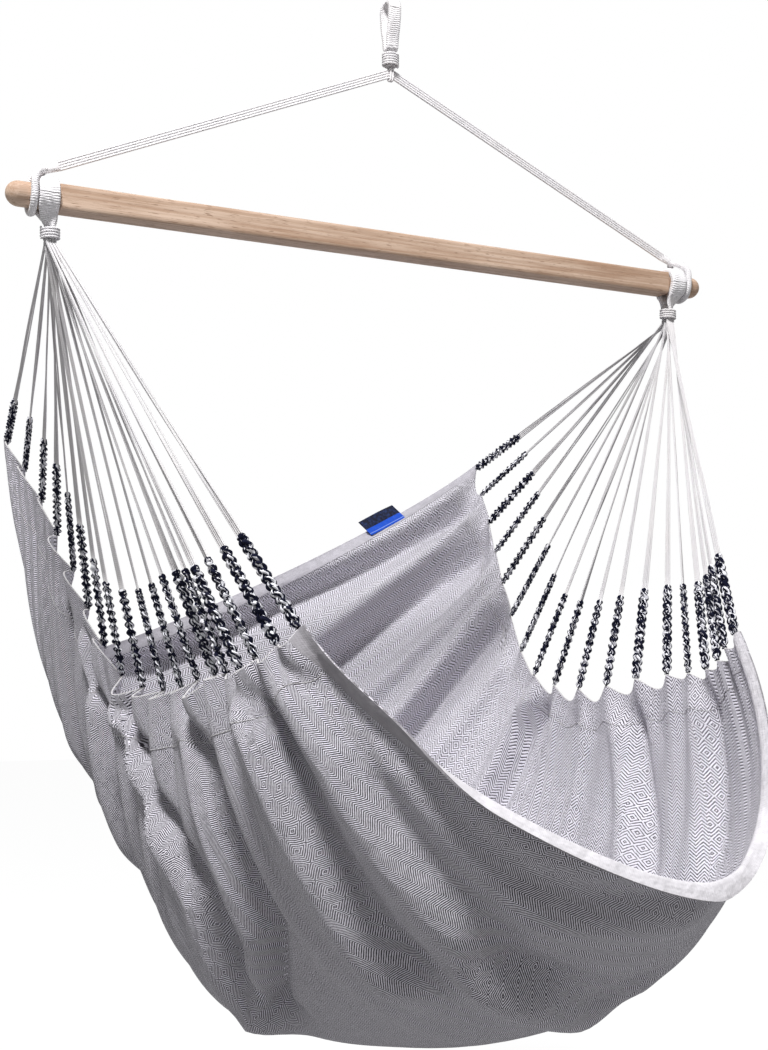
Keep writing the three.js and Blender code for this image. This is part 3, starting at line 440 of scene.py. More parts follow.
def label_material():
    """Woven satin label, navy above and blue below, with fine ribs and no lettering."""
    material, tree = new_material("woven_label")
    _, up = flat_sockets(tree)
    navy, blue, pale, line = (
        rgba(linear(code)) for code in ("#0B0E20", "#1B4FC4", "#5C7FD8", "#9FB6E8")
    )
    colour = graded(tree, up, 0.0146, 0.0149, blue, navy)
    colour = graded(tree, object_noise(tree, 5.0, detail=3.0), 0.4, 0.8, colour, pale, 0.18)
    edges = [
        add_node(tree, "MapRange", (up, low, high), **SMOOTH)
        for low, high in ((0.003, 0.0034), (0.0042, 0.0046))
    ]
    stripe = add_node(tree, "Math", edges, operation="SUBTRACT")
    factor = add_node(tree, "Math", (stripe, 0.7), **TIMES)
    colour = add_node(tree, "Mix", {0: factor, 6: colour, 7: line}, **COLOURS)
    normal = bump(tree, (ripple(tree, up, METRE / 1.2), 0.12))
    return finished(material, colour, normal, {"Roughness": 0.7, "Specular IOR Level": 0.2})


# Surfaces. A shell is points (N, 3), then faces as (M, k) arrays with their flat coordinates.


def lattice(points, flat, ring=False):
    """The four-cornered faces of a grid whose rows close on themselves, and its columns too if
    it is a ring: face (i, j) joins points i, i+1 and j, j+1. flat has one column more than
    points, and in a ring one row more."""
    n, m = points.shape[:2]
    rows = np.arange(n if ring else n - 1)[:, None]
    columns = np.arange(m)[None, :]
    corners, flats = [], []
    for a, b in ((0, 0), (1, 0), (1, 1), (0, 1)):
        i, j = rows + a + 0 * columns, columns + b + 0 * rows
        corners.append((i % n) * m + j % m)
        flats.append(flat[i, j])
    faces = np.stack(corners, -1).reshape(-1, 4)
    return points.reshape(-1, 3), [(faces, np.stack(flats, -2).reshape(-1, 4, 2))]


def closed_tube(points, run):
    """A tube whose sections close and whose two ends are fans to their middles, with its flat
    coordinates from the distance run."""
    n, m = points.shape[:2]
    flat = flat_round(run, m)
    co, faces = lattice(points, flat)
    co = np.vstack([co, points[0].mean(0), points[-1].mean(0)])
    j = np.arange(m)
    for row, middle in ((0, n * m), (n - 1, n * m + 1)):
        a, b = row * m + j, row * m + (j + 1) % m
        fan = np.stack([a, b, np.full(m, middle)] if row else [b, a, np.full(m, middle)], -1)
        faces.append((fan, np.repeat(flat[row, :1][None], 3, 1) + np.zeros((m, 3, 2))))
    return co, faces


def two_faced(outer, inner, flat):
    """A sheet between its two faces, closed at the rim: the grid runs over one face and back
    over the other, and a strip joins them along its first and its last row."""
    points = np.concatenate([outer, inner[:, ::-1]], 1)
    flats = np.concatenate([flat, flat[:, ::-1], flat[:, :1]], 1)
    co, faces = lattice(points, flats)
    n, m = points.shape[:2]
    j = np.arange(m // 2 - 1)
    for row in (0, n - 1):
        a, b, c, d = (row * m + k for k in (j, j + 1, m - 2 - j, m - 1 - j))
        strip = np.stack([b, c, d, a] if row else [d, c, b, a], -1)
        faces.append((strip, np.repeat(flats[row, j][:, None], 4, 1)))
    return co, faces


def facing_out(shell):
    """The shell with every face turned over if its volume, the sum of a . (b x c) / 6 over its
    triangles, is negative."""
    co, faces = shell
    volume = 0.0
    for corner, _ in faces:
        a = co[corner[:, 0]]
        for k in range(1, corner.shape[1] - 1):
            volume += (a * np.cross(co[corner[:, k]], co[corner[:, k + 1]])).sum()
    return co, [(corner[:, ::-1], flat[:, ::-1]) for corner, flat in faces] if volume < 0 else faces


def add_piece(name, shells, materials, body, replaced, soft_angle=None):
    """One mesh object of closed shells on a body of the frame. Each is (shell, material number),
    or has a list of numbers, which its faces take in turn."""
    points, corners, totals, flats, kinds = [], [], [], [], []
    start = 0
    for shell, kind in shells:
        co, faces = facing_out(shell)
        points.append(co / METRE)
        for corner, flat in faces:
            corners.append(corner.ravel() + start)
            totals.append(np.full(len(corner), corner.shape[1]))
            flats.append(flat.reshape(-1, 2) / METRE)
            kinds.append(np.resize(kind, len(corner)))
        start += len(co)
    points, corners, totals = np.vstack(points), np.concatenate(corners), np.concatenate(totals)
    mesh = bpy.data.meshes.new(name)
    mesh.vertices.add(len(points))
    mesh.vertices.foreach_set("co", points.ravel())
    mesh.loops.add(len(corners))
    mesh.loops.foreach_set("vertex_index", corners)
    mesh.polygons.add(len(totals))
    mesh.polygons.foreach_set("loop_start", np.concatenate([[0], np.cumsum(totals)[:-1]]))
    mesh.polygons.foreach_set("use_smooth", np.ones(len(totals), bool))
    mesh.polygons.foreach_set("material_index", np.concatenate(kinds))
    mesh.update(calc_edges=True)
    mesh.uv_layers.new(name="flat").uv.foreach_set("vector", np.vstack(flats).ravel())
    for material in materials:
        mesh.materials.append(material)
    if soft_angle is not None:
        mesh.set_sharp_from_angle(angle=math.radians(soft_angle))
    piece = bpy.data.objects.new(name, mesh)
    bpy.context.scene.collection.objects.link(piece)
    if replaced:
        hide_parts(*replaced)
    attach(piece, body)
    return piece


def unit(vectors):
    return vectors / np.linalg.norm(vectors, axis=-1, keepdims=True)


def eased(share):
    """0 to 1 with level ends, 3 s ** 2 - 2 s ** 3."""
    share = np.clip(share, 0, 1)
    return share * share * (3 - 2 * share)


def lobed(angle, depth):
    """The outline of cords side by side: 1 at their crests, 1 - depth in their grooves."""
    return 1 - depth * (1 - np.abs(np.cos(angle)))


def round_angles(sides):
    return np.linspace(0, TAU, sides, endpoint=False)[None, :]


def frames_along(path, lean, closed=False):
    """At each point of a path: the part of lean square to it, and the third direction."""
    if closed:
        along = unit(np.roll(path, -1, 0) - np.roll(path, 1, 0))
    else:
        along = unit(np.gradient(path, axis=0))
    lean = np.broadcast_to(np.asarray(lean, float), path.shape)
    first = unit(lean - (lean * along).sum(-1, keepdims=True) * along)
    return first, np.cross(along, first)


def lengths_along(path, closed=False):
    """The distance run at each point of a path, with the whole length last if it is closed."""
    if closed:
        path = np.vstack([path, path[:1]])
    return np.concatenate([[0], np.cumsum(np.linalg.norm(np.diff(path, axis=0), axis=1))])


def carried(path, lean, first, second, closed=False):
    """A section carried along a path: path + first * (lean direction) + second * (third one)."""
    a, b = frames_along(path, lean, closed)
    return path[:, None] + first[..., None] * a[:, None] + second[..., None] * b[:, None]


def flat_round(run, sides):
    """Flat coordinates of a tube: the distance run, and once round from 0 to 1."""
    around = np.linspace(0, METRE, sides + 1)
    return np.stack(np.broadcast_arrays(run[:, None], around[None, :]), -1)


def round_cord(path, edge, lean, run=None):
    """A cord along a path, with its edge as far out as edge says at each angle round it."""
    angle = round_angles(edge.shape[-1])
    points = carried(path, lean, edge * np.cos(angle), edge * np.sin(angle))
    return closed_tube(points, lengths_along(path) if run is None else run)


def twisted_cord(path, radius, lay, depth, sides=12, lean=(0, 1, 0)):
    """A cord of three strands along a path. At the distance s its edge at the angle q is
    radius * (1 - depth * (1 - |cos(3 * (q - 2 pi s / lay) / 2)|))."""
    turn = TAU * lengths_along(path)[:, None] / lay
    return round_cord(path, radius * lobed(3 * (round_angles(sides) - turn) / 2, depth), lean)


def placed(path, run, at):
    """The points at the distances at along a path."""
    return np.stack([np.interp(at, run, path[:, k]) for k in range(3)], -1)


def served_turns(path, pitch, around):
    """For a closed path with cord wound round it: the path with 8 points a turn, their distances
    with the whole length last, their turns, and the angles round the path."""
    run = lengths_along(path, closed=True)
    turns = round(run[-1] / pitch)
    at = np.linspace(0, run[-1], turns * 8 + 1)
    fine = placed(np.vstack([path, path[:1]]), run, at[:-1])
    return fine, run, at, turns * at[:-1, None] / run[-1], round_angles(around)


def served_strap(path, width, thickness, pitch, lean):
    """A closed strap with cord wound round it. Its section is a rounded oblong whose edge swells
    by ridge * (|sin(pi s / pitch)| - 0.75), with each turn drawn a little askew, and a row of
    knots stands along one edge. width and thickness are numbers or one value a point."""
    fine, run, at, phase, angle = served_turns(path, pitch, STRAP_SIDES)
    wide, thick = (
        np.interp(at[:-1], run, np.append(value, value[0]))[:, None]
        for value in (width + 0 * path[:, 0], thickness + 0 * path[:, 0])
    )
    phase = phase + 0.18 * np.sin(angle) + 0.1 * np.sin(3 * angle)
    swell = STRAP_RIDGE * (np.abs(np.sin(math.pi * phase)) - 0.75)
    c, s = np.cos(angle), np.sin(angle)
    oblong = (np.abs(c) ** 5 + np.abs(s) ** 5) ** (-1 / 5)
    knots = STRAP_KNOT * np.exp(-(((angle - 0.95 * math.pi / 4) / 0.3) ** 2))
    knots = knots * (0.55 + 0.45 * np.sin(TAU * phase + 1.2))
    across = (thick / 2 + swell + knots) * oblong * c
    along_width = (wide / 2 + swell + knots * 0.6) * oblong * s
    points = carried(fine, lean, across, along_width, closed=True)
    return lattice(points, flat_round(at, STRAP_SIDES), ring=True)


def served_ring(path, radius, pitch, lean, spiral_turns):
    """A closed round cord with cord wound round it: radius + ridge * (|sin(pi s / pitch)| - 1.2),
    and a row of knots that goes round it spiral_turns times."""
    fine, run, at, phase, angle = served_turns(path, pitch, RING_SIDES)
    phase = phase + 0.15 * np.sin(angle)
    spine = TAU * spiral_turns * at[:-1, None] / run[-1] + 0.6
    away = (angle - spine + math.pi) % TAU - math.pi
    knots = RING_KNOT * np.exp(-((away / 0.45) ** 2)) * (0.6 + 0.4 * np.sin(TAU * phase))
    edge = radius + RING_RIDGE * (np.abs(np.sin(math.pi * phase)) - 1.2) + knots
    points = carried(fine, lean, edge * np.cos(angle), edge * np.sin(angle), closed=True)
    return lattice(points, flat_round(at, RING_SIDES), ring=True)


def gathered_cylinder(axis_x, radius, top, foot, lobes):
    """An upright bundle of cords: a cylinder of radius * (1 - 0.09 * (1 - |cos(lobes * q / 2)|)),
    drawn in a little at both ends."""
    share = np.linspace(0, 1, 9)[:, None]
    angle = round_angles(72)
    drawn_in = 1 - 0.06 * np.abs(2 * share - 1) ** 6
    edge = radius * drawn_in * lobed(lobes * (angle - 0.5 * share) / 2, 0.09)
    height = top + (foot - top) * share + 0 * angle
    points = np.stack([axis_x + edge * np.cos(angle), edge * np.sin(angle), height], -1)
    return closed_tube(points, np.abs(height[:, 0] - top))


def upright_winding(axis_x, core, radius, pitch, turns, middle):
    """A helix of twisted cord round an upright core: angle 2 pi k, height middle + pitch *
    (turns / 2 - k)."""
    k = np.linspace(0, turns, int(turns * 64) + 1)
    reach = core + TOUCH_GAP + radius
    height = middle + pitch * (turns / 2 - k)
    path = np.stack([axis_x + reach * np.cos(TAU * k), reach * np.sin(TAU * k), height], -1)
    return twisted_cord(path, radius, THIN_LAY, 0.06, 14, (0, 0, 1))


# Where things are


def along_stations(values, station):
    """A smooth curve through values at the stations: a cubic between each two, whose slope at a
    station is the mean of its neighbours' slopes, weighted by their distances."""
    x, y = STATION_SHARES, np.asarray(values, float)
    y = y[:, None] if y.ndim == 1 else y
    gap = np.diff(x)
    slope = np.diff(y, axis=0) / gap[:, None]
    tangent = np.empty_like(y)
    tangent[0], tangent[-1] = slope[0], slope[-1]
    weight = (gap[:-1] + gap[1:])[:, None]
    tangent[1:-1] = (slope[:-1] * gap[1:, None] + slope[1:] * gap[:-1, None]) / weight
    k = np.clip(np.searchsorted(x, station, side="right") - 1, 0, len(gap) - 1)
    u = ((station - x[k]) / gap[k])[..., None]
    start, end = 2 * u**3 - 3 * u**2 + 1, 3 * u**2 - 2 * u**3
    leaving = gap[k][..., None] * (u**3 - 2 * u**2 + u)
    arriving = gap[k][..., None] * (u**3 - u**2)
    return y[k] * start + y[k + 1] * end + tangent[k] * leaving + tangent[k + 1] * arriving


def smooth_cloth(station, reach):
    """The smooth cloth: between the header and the keel each station follows a quarter of a
    superellipse, |outward| ** n + |sunk| ** n = 1."""
    header = along_stations(HEADER_SHARES, station)
    keel = along_stations(KEEL_SHARES, station)
    left = along_stations(LEFT_SQUARENESS, station)[..., 0]
    right = along_stations(RIGHT_SQUARENESS, station)[..., 0]
    n = np.where(reach < 0, left, right)
    angle = np.abs(reach) * math.pi / 2
    c, s = np.abs(np.cos(angle)), np.abs(np.sin(angle))
    scale = (c**n + s**n) ** (-1 / n)
    outward, sunk = scale * s, scale * c
    side = np.sign(reach) * header[..., 0]
    x = SEAT_HALF_WIDTH * (keel[..., 0] + (side - keel[..., 0]) * outward)
    y = SEAT_REACH * (header[..., 1] + (keel[..., 1] - header[..., 1]) * sunk)
    z = -SEAT_DROP * (header[..., 2] + (keel[..., 2] - header[..., 2]) * sunk) - BAR_DROP
    return np.stack([x, y, z], -1)


FIRST_LINE = BAND_WIDTH / HEADER_LENGTH / 2
SMALL = 1e-3
UNEVEN = np.random.default_rng(3)
GAPS = (2, LINES_PER_SIDE - 1)  # between the lines on the left, then on the right
FOLD_FADES = UNEVEN.uniform(0.9, 2.6, GAPS)
FOLD_SHARES = UNEVEN.uniform(0.45, 1.15, GAPS) * ((1.0,), (0.45,))
SCALLOP_SHARES = UNEVEN.uniform(0.3, 1.25, GAPS)
STANDING_GAPS = 7  # on the left, where the stiff hem stands up between its lines
SCALLOP_SHARES[0, :STANDING_GAPS] -= 2.0
FOLD_SHARES[0, :STANDING_GAPS] += 0.15


def between_lines(share):
    """The line before each share of the way from the first line to the last, how far on to the
    next line it is, and how wide their space is beside an even one."""
    index = np.clip(np.searchsorted(LINE_PLACES, share, side="right") - 1, 0, LINES_PER_SIDE - 2)
    space = np.diff(LINE_PLACES)[index]
    return index, (share - LINE_PLACES[index]) / space, space * (LINES_PER_SIDE - 1)


def normals_of(surface, station, reach):
    """The directions square to a surface, away from the sitter, from its small differences."""
    ahead = surface(np.minimum(station + SMALL, 1), reach)
    behind = surface(np.maximum(station - SMALL, 0), reach)
    right = surface(station, np.minimum(reach + SMALL, 1))
    left = surface(station, np.maximum(reach - SMALL, -1))
    return unit(np.cross(right - left, ahead - behind))


def towards_keel(station, reach):
    """The way down the cloth from its nearer header."""
    return unit(smooth_cloth(station, reach * (1 - SMALL)) - smooth_cloth(station, reach))


def header_points(cloth, side):
    """Where the lines meet the header: in the creases between its bulges, as in the solids."""
    station = FIRST_LINE + (1 - 2 * FIRST_LINE) * LINE_PLACES
    return folded_cloth(cloth, station, np.full_like(station, side))


def fullness(station, reach):
    """How wide the smooth cloth is, as a share of its header: |a x b| / (|b| * header), with a
    and b its changes along the station and the reach."""
    low, high = np.maximum(station - SMALL, 0), np.minimum(station + SMALL, 1)
    a = (smooth_cloth(high, reach) - smooth_cloth(low, reach)) / (high - low)[..., None]
    near, far = np.maximum(reach - SMALL, -1), np.minimum(reach + SMALL, 1)
    b = unit(smooth_cloth(station, far) - smooth_cloth(station, near))
    return np.minimum(np.linalg.norm(np.cross(a, b), axis=-1) / HEADER_LENGTH, 1)


def long_creases(station, reach):
    """The long creases, outwards in millimetres: each is depth * (0.8 * exp(-(u / 1.1 + 1.4) ** 2)
    - exp(-u ** 2)), with u the distance from its line in half widths, eased in and out at its two
    ends and at the back edge. With it, how far each place is inside a crease's reach,
    exp(-(u / 2.4) ** 2)."""
    push, within = np.zeros_like(station), np.zeros_like(station)
    for depth, width, places in CREASES:
        reaches, stations = np.array(places).T
        u = (station - np.interp(reach, reaches, stations)) / width
        start = eased((reach - reaches[0]) / CREASE_EASE + 1)
        window = start * eased((reaches[-1] - reach) / CREASE_EASE + 1)
        push += depth * window * (0.8 * np.exp(-((u / 1.1 + 1.4) ** 2)) - np.exp(-(u**2)))
        within = np.maximum(within, window * np.exp(-((u / 2.4) ** 2)))
    return push * eased(station / BACK_EASE), within


def folded_cloth(cloth, station, reach):
    """The cloth with its gathers. At the share k of the way between two lines it bulges outwards
    by depth * (2 * wide * |sin(pi k)| ** round * |reach| ** fade - |reach| ** 1.6), and near the
    header it sags by scallop * wide * |sin(pi k)| ** round, where round is 2, and 1.2 at the
    header itself. Each bulge has a height, a sag and a fade of its own, and is lower beside the
    long creases."""
    share = np.clip((station - FIRST_LINE) / (1 - 2 * FIRST_LINE), 0, 1)
    index, k, wide = between_lines(share)
    far, side = np.abs(reach), np.where(reach < 0, 0, 1)
    near = np.clip((far - 1 + SCALLOP_SPAN) / SCALLOP_SPAN, 0, 1)
    arch = np.abs(np.sin(math.pi * k)) ** (2 - 0.8 * near**4)
    creases, within = long_creases(station, reach)
    hold = eased((1 - far) / HEADER_HOLD)
    calm = CREASE_CALM * within * hold
    height = 2 * wide * far ** FOLD_FADES[side, index] * FOLD_SHARES[side, index]
    bulge = height * (arch * (1 - calm) + 0.5 * calm) - far**FOLD_FADE
    push = cloth.fold_depth * fullness(station, reach) * bulge + creases * hold
    sag = cloth.scallop_depth * SCALLOP_SHARES[side, index] * wide * arch * near**2
    out = normals_of(smooth_cloth, station, reach)
    down = towards_keel(station, np.where(far < SMALL, SMALL, reach))
    moved = smooth_cloth(station, reach) + out * push[..., None]
    moved += down * (sag * (far > SMALL))[..., None]
    return moved + curled_lip(cloth, station, reach, out)


def curled_lip(cloth, station, reach, out):
    """The front edge curls outwards over its last part: an arc of the length bend and the angle
    a(reach), then straight on. At the distance s into it, with p = min(s, bend) and q = s - p, it
    moves by sin(a p / bend) * bend / a + cos(a) * q - s towards the edge and by
    (1 - cos(a p / bend)) * bend / a + sin(a) * q outwards."""
    share = eased((reach - LIP_STARTS) / LIP_GROWS)
    share = share * (1 - LIP_FALL * eased((reach - LIP_FALLS_FROM) / LIP_FALLS))
    angle = np.maximum(math.radians(cloth.lip_angle) * share, 1e-3)
    front = np.ones_like(station)
    ahead = smooth_cloth(front, reach) - smooth_cloth(front * (1 - EDGE_STEP), reach)
    along = unit(
        smooth_cloth(front, np.minimum(reach + SMALL, 1))
        - smooth_cloth(front, np.maximum(reach - SMALL, -1))
    )
    ahead = ahead - (ahead * along).sum(-1, keepdims=True) * along
    length = np.linalg.norm(ahead, axis=-1) / EDGE_STEP
    bend = cloth.lip / 3
    s = np.clip(cloth.lip - (1 - station) * length, 0, cloth.lip)
    p = np.minimum(s, bend)
    forth = np.sin(angle * p / bend) * bend / angle + np.cos(angle) * (s - p) - s
    aside = (1 - np.cos(angle * p / bend)) * bend / angle + np.sin(angle) * (s - p)
    return unit(ahead) * forth[..., None] + out * aside[..., None]


def bridle_layout():
    """The crown, the foot of the right leg, and the ways up that leg and across it."""
    foot = np.array([END_LOOP_X - END_LOOP_LEAN, 0, END_LOOP_CREST - BAR_DROP])
    crown = np.array([0.0, 0, CROWN_TOP])
    for _ in range(4):
        slope = math.atan2(crown[2] - foot[2], foot[0])
        half = (BRIDLE_CORDS - 1) / 2 * BRIDLE_PITCH / math.cos(slope)
        crown[2] = CROWN_TOP - BRIDLE_RADIUS - half + CROWN_BEND * math.sin(slope) / 2
    up = unit(crown - foot)
    return crown, foot, up, np.array([up[2], 0, -up[0]])


def round_bend(start, corner, end, count):
    """Points of the curve from start to end that leaves and arrives towards the corner."""
    u = np.linspace(0, 1, count)[:, None]
    return start * (1 - u) ** 2 + 2 * corner * u * (1 - u) + end * u**2


MIRROR = np.array([-1.0, 1, 1])
SIDES = (("right", 1), ("left", -1))


def on_side(shell, sign):
    """A shell made for the right, or its mirror image for the left."""
    return shell[0] * (sign, 1, 1), shell[1]


# Operators


class CHAIR_OT_stage(bpy.types.Operator):
    """Adds the camera, the lamps, the pale floor and the white surround"""

    bl_idname = "chair.stage"
    bl_label = "Stage"

    def execute(self, context):
        scene, stage = context.scene, context.scene.chair_stage
        camera = bpy.data.objects.new("camera", bpy.data.cameras.new("camera"))
        camera.location = (-0.93490, -1.89550, -0.95754)
        camera.rotation_euler = (math.radians(90), 0, math.radians(-26))
        camera.data.lens, camera.data.shift_y, camera.data.clip_end = 50.167, 0.137, 60
        scene.collection.objects.link(camera)
        scene.camera = camera
        self.lamp(scene, "key", (-1.35, -1.7, 2.25), 0.8, stage.key)
        self.lamp(scene, "fill", (2.4, -1.6, 0.6), 2.0, stage.fill)
        self.floor(scene, stage.floor)
        self.surround(scene, stage.sky)
        scene.view_settings.view_transform = "Standard"
        return {"FINISHED"}

    def lamp(self, scene, name, place, width, power):
        """A round lamp that points at the middle of the chair."""
        light = bpy.data.lights.new(name, "AREA")
        light.shape, light.size, light.energy = "DISK", width, power
        lamp = bpy.data.objects.new(name, light)
        lamp.location = place
        x, y, z = np.subtract((0, 0, -0.9), place)
        lamp.rotation_euler = (math.atan2(math.hypot(x, y), -z), 0, math.atan2(y, x) - math.pi / 2)
        scene.collection.objects.link(lamp)

    def floor(self, scene, colour):
        """A square floor below the chair: pale paint, lit evenly, that keeps a soft shadow."""
        mesh = bpy.data.meshes.new("floor")
        half, level = 14.0, -1.95
        corners = [(x * half, y * half, level) for x, y in ((-1, -1), (1, -1), (1, 1), (-1, 1))]
        mesh.from_pydata(corners, [], [(0, 1, 2, 3)])
        material, tree = new_material("pale_floor_paint")
        paint = add_node(tree, "BsdfDiffuse", {"Color": rgba(colour), "Roughness": 1.0})
        glow = add_node(tree, "Emission", {"Color": (1, 1, 1, 1), "Strength": 1.18})
        share = add_node(tree, "Math", (seen_rays(tree), 0.8), **TIMES)
        mixed = add_node(tree, "MixShader", (share, paint, glow))
        add_node(tree, "OutputMaterial", (mixed,))
        mesh.materials.append(material)
        floor = bpy.data.objects.new("floor", mesh)
        scene.collection.objects.link(floor)

    def surround(self, scene, strength):
        """An even sky that looks white to the camera and in reflections."""
        scene.world = bpy.data.worlds.new("surround")
        scene.world.use_nodes = True
        tree = scene.world.node_tree
        tree.nodes.clear()
        sky, white = (
            add_node(tree, "Background", {"Color": (1, 1, 1, 1), "Strength": value})
            for value in (strength, 1.0)
        )
        mixed = add_node(tree, "MixShader", (seen_rays(tree), sky, white))
        add_node(tree, "OutputWorld", (mixed,))


def seen_rays(tree):
    """1 for camera, mirror and see-through rays, 0 for the rays that light the chair."""
    rays = add_node(tree, "LightPath").node.outputs
    seen = rays["Is Camera Ray"]
    for name in ("Is Glossy Ray", "Is Transmission Ray"):
        seen = add_node(tree, "Math", (seen, rays[name]), operation="MAXIMUM")
    return seen


class CHAIR_OT_hanging_loop(bpy.types.Operator):
    """Adds the served hanging loop, its neck and the seizing round the neck"""

    bl_idname = "chair.hanging_loop"
    bl_label = "Hanging loop"

    def execute(self, context):
        cords = context.scene.chair_cords
        served = cotton_cord_material(cords, "served_cotton_cord", 6, 3.0, 0.12)
        top_radius = (EYE_WIDTH + LOOP_STRAP_THICKNESS) / 2
        heel_radius = LOOP_HEEL_RADIUS - LOOP_STRAP_THICKNESS / 2
        top, heel = -EYE_WIDTH / 2, LOOP_HEEL_RADIUS - LOOP_LENGTH
        q = np.linspace(0, math.pi, 40)
        arc = np.stack([0 * q, top_radius * np.cos(q), top + top_radius * np.sin(q)], -1)
        foot = np.stack([0 * q, -heel_radius * np.cos(q), heel - heel_radius * np.sin(q)], -1)
        share = np.linspace(0, 1, 24)[1:-1]
        drawn_in = 0.25 * share + 0.75 * eased(share) ** 1.6
        leg_y = top_radius + (heel_radius - top_radius) * drawn_in
        leg = np.stack([0 * share, -leg_y, top + (heel - top) * share], -1)
        path = np.vstack([arc, leg, foot, leg[::-1] * (1, -1, 1)])
        width = LOOP_STRAP_WIDTH - WINDING_WIDTH
        thickness = LOOP_STRAP_THICKNESS - WINDING_THICKNESS
        strap = served_strap(path, width, thickness, cords.serving_pitch, (0, 0, 1))
        neck = gathered_cylinder(0, NECK_RADIUS, NECK_TOP, NECK_FOOT, 11)
        middle = (NECK_TOP + NECK_FOOT) / 2
        turns = upright_winding(
            0, NECK_RADIUS, SEIZING_RADIUS, SEIZING_PITCH, SEIZING_TURNS, middle
        )
        for name, shell, body, node, slot in (
            ("served_hanging_loop", strap, "hanger", "hanging_loop", "served_cord"),
            ("gathered_neck", neck, "seizing", "loop_neck", "served_cord"),
            ("neck_seizing", turns, "seizing", "loop_seizing", "white_cord"),
        ):
            add_piece(name, [(shell, 0)], [served], body, [node])
        return {"FINISHED"}


class CHAIR_OT_bridle(bpy.types.Operator):
    """Adds the crown hitch, the four bridle cords and the served loops at the bar's ends"""

    bl_idname = "chair.bridle"
    bl_label = "Bridle"

    def execute(self, context):
        cords = context.scene.chair_cords
        cord = cotton_cord_material(cords, "twisted_cotton_cord", 6, 9.0, 0.04)
        served = cotton_cord_material(cords, "served_cotton_loop", 6, 3.0, 0.12)
        crown, foot, up, across = bridle_layout()
        slope = math.atan2(up[2], -up[0])
        for index in range(BRIDLE_CORDS):
            offset = (index - (BRIDLE_CORDS - 1) / 2) * BRIDLE_PITCH
            start = foot + up * (END_NECK_LENGTH + TOUCH_GAP) + across * offset
            corner = np.array([0, 0, crown[2] + offset / math.cos(slope)])
            bend = corner - up * CROWN_BEND
            path = np.vstack([start, round_bend(bend, corner, bend * MIRROR, 9), start * MIRROR])
            run = lengths_along(path)
            count = math.ceil(run[-1] / (cords.lay / 9))
            even = placed(path, run, np.linspace(0, run[-1], count + 1))
            shell = twisted_cord(even, BRIDLE_RADIUS + 0.12, cords.lay, 0.03)
            name = f"bridle_cord_{index + 1}"
            add_piece(f"twisted_{name}", [(shell, 0)], [cord], "bridle", [name])
        self.hitch(cord, slope)
        self.end_loops(served, cords, foot, up, across)
        return {"FINISHED"}

    def hitch(self, cord, slope):
        """Two turns round the stacked cords: an oblong ring, stepped along X from turn to turn."""
        stack = (BRIDLE_CORDS - 1) * BRIDLE_PITCH / math.cos(slope)
        across = BRIDLE_RADIUS + TOUCH_GAP + HITCH_RADIUS
        high = HITCH_TOP - HITCH_RADIUS
        low = CROWN_TOP - stack - 2 * BRIDLE_RADIUS - HITCH_ROCK_ROOM - HITCH_RADIUS
        turn = np.linspace(0, HITCH_TURNS, HITCH_TURNS * 60 + 1)
        c, s = np.cos(TAU * turn), np.sin(TAU * turn)
        stretch = ((high - low) / 2 - across) * np.sign(c) * np.minimum(np.abs(c) * 2, 1)
        height = (high + low) / 2 + stretch + across * c
        path = np.stack([(turn - HITCH_TURNS / 2) * HITCH_PITCH, across * s, height], -1)
        shells = [(twisted_cord(path, HITCH_RADIUS, THIN_LAY, 0.12, lean=(1, 0, 0)), 0)]
        add_piece("twisted_crown_hitch", shells, [cord], "hitch", ["crown_hitch"])

    def end_loops(self, served, cords, foot, up, across):
        """Round the bar's end the loop's middle line has the radius inner + rise * cos(q) ** 2
        above the bar, and leans inwards by lean * cos(q) ** 8. Its neck runs from round to
        upright."""
        q = np.linspace(0, TAU, 160, endpoint=False)
        rise = np.maximum(np.cos(q), 0) ** 2
        radius = END_LOOP_INNER + (END_LOOP_CREST - END_LOOP_INNER) * rise
        x = END_LOOP_X - END_LOOP_LEAN * rise**END_LOOP_LEAN_SHARPNESS
        path = np.stack([x, radius * np.sin(q), radius * np.cos(q) - BAR_DROP], -1)
        ring = served_ring(path, END_LOOP_RADIUS, cords.serving_pitch, (1, 0.001, 0), 3)
        run = np.linspace(0, END_NECK_LENGTH, 57)[:, None]
        angle, share = round_angles(24), run / END_NECK_LENGTH
        swell = RING_RIDGE * (np.abs(np.sin(math.pi * run / cords.serving_pitch)) - 0.7)
        high = (END_NECK_START + END_NECK_WIDENS * share + swell) * np.cos(angle)
        wide = (END_NECK_START - END_NECK_FLATTENS * share + swell) * np.sin(angle)
        points = (foot + up * run)[:, None] + high[..., None] * across
        neck = closed_tube(points + wide[..., None] * np.array([0.0, 1, 0]), run[:, 0])
        for side, sign in SIDES:
            shells = [(on_side(shell, sign), 0) for shell in (ring, neck)]
            node = f"bridle_end_loop_{side}"
            add_piece(f"served_end_loop_{side}", shells, [served], "bridle", [node])


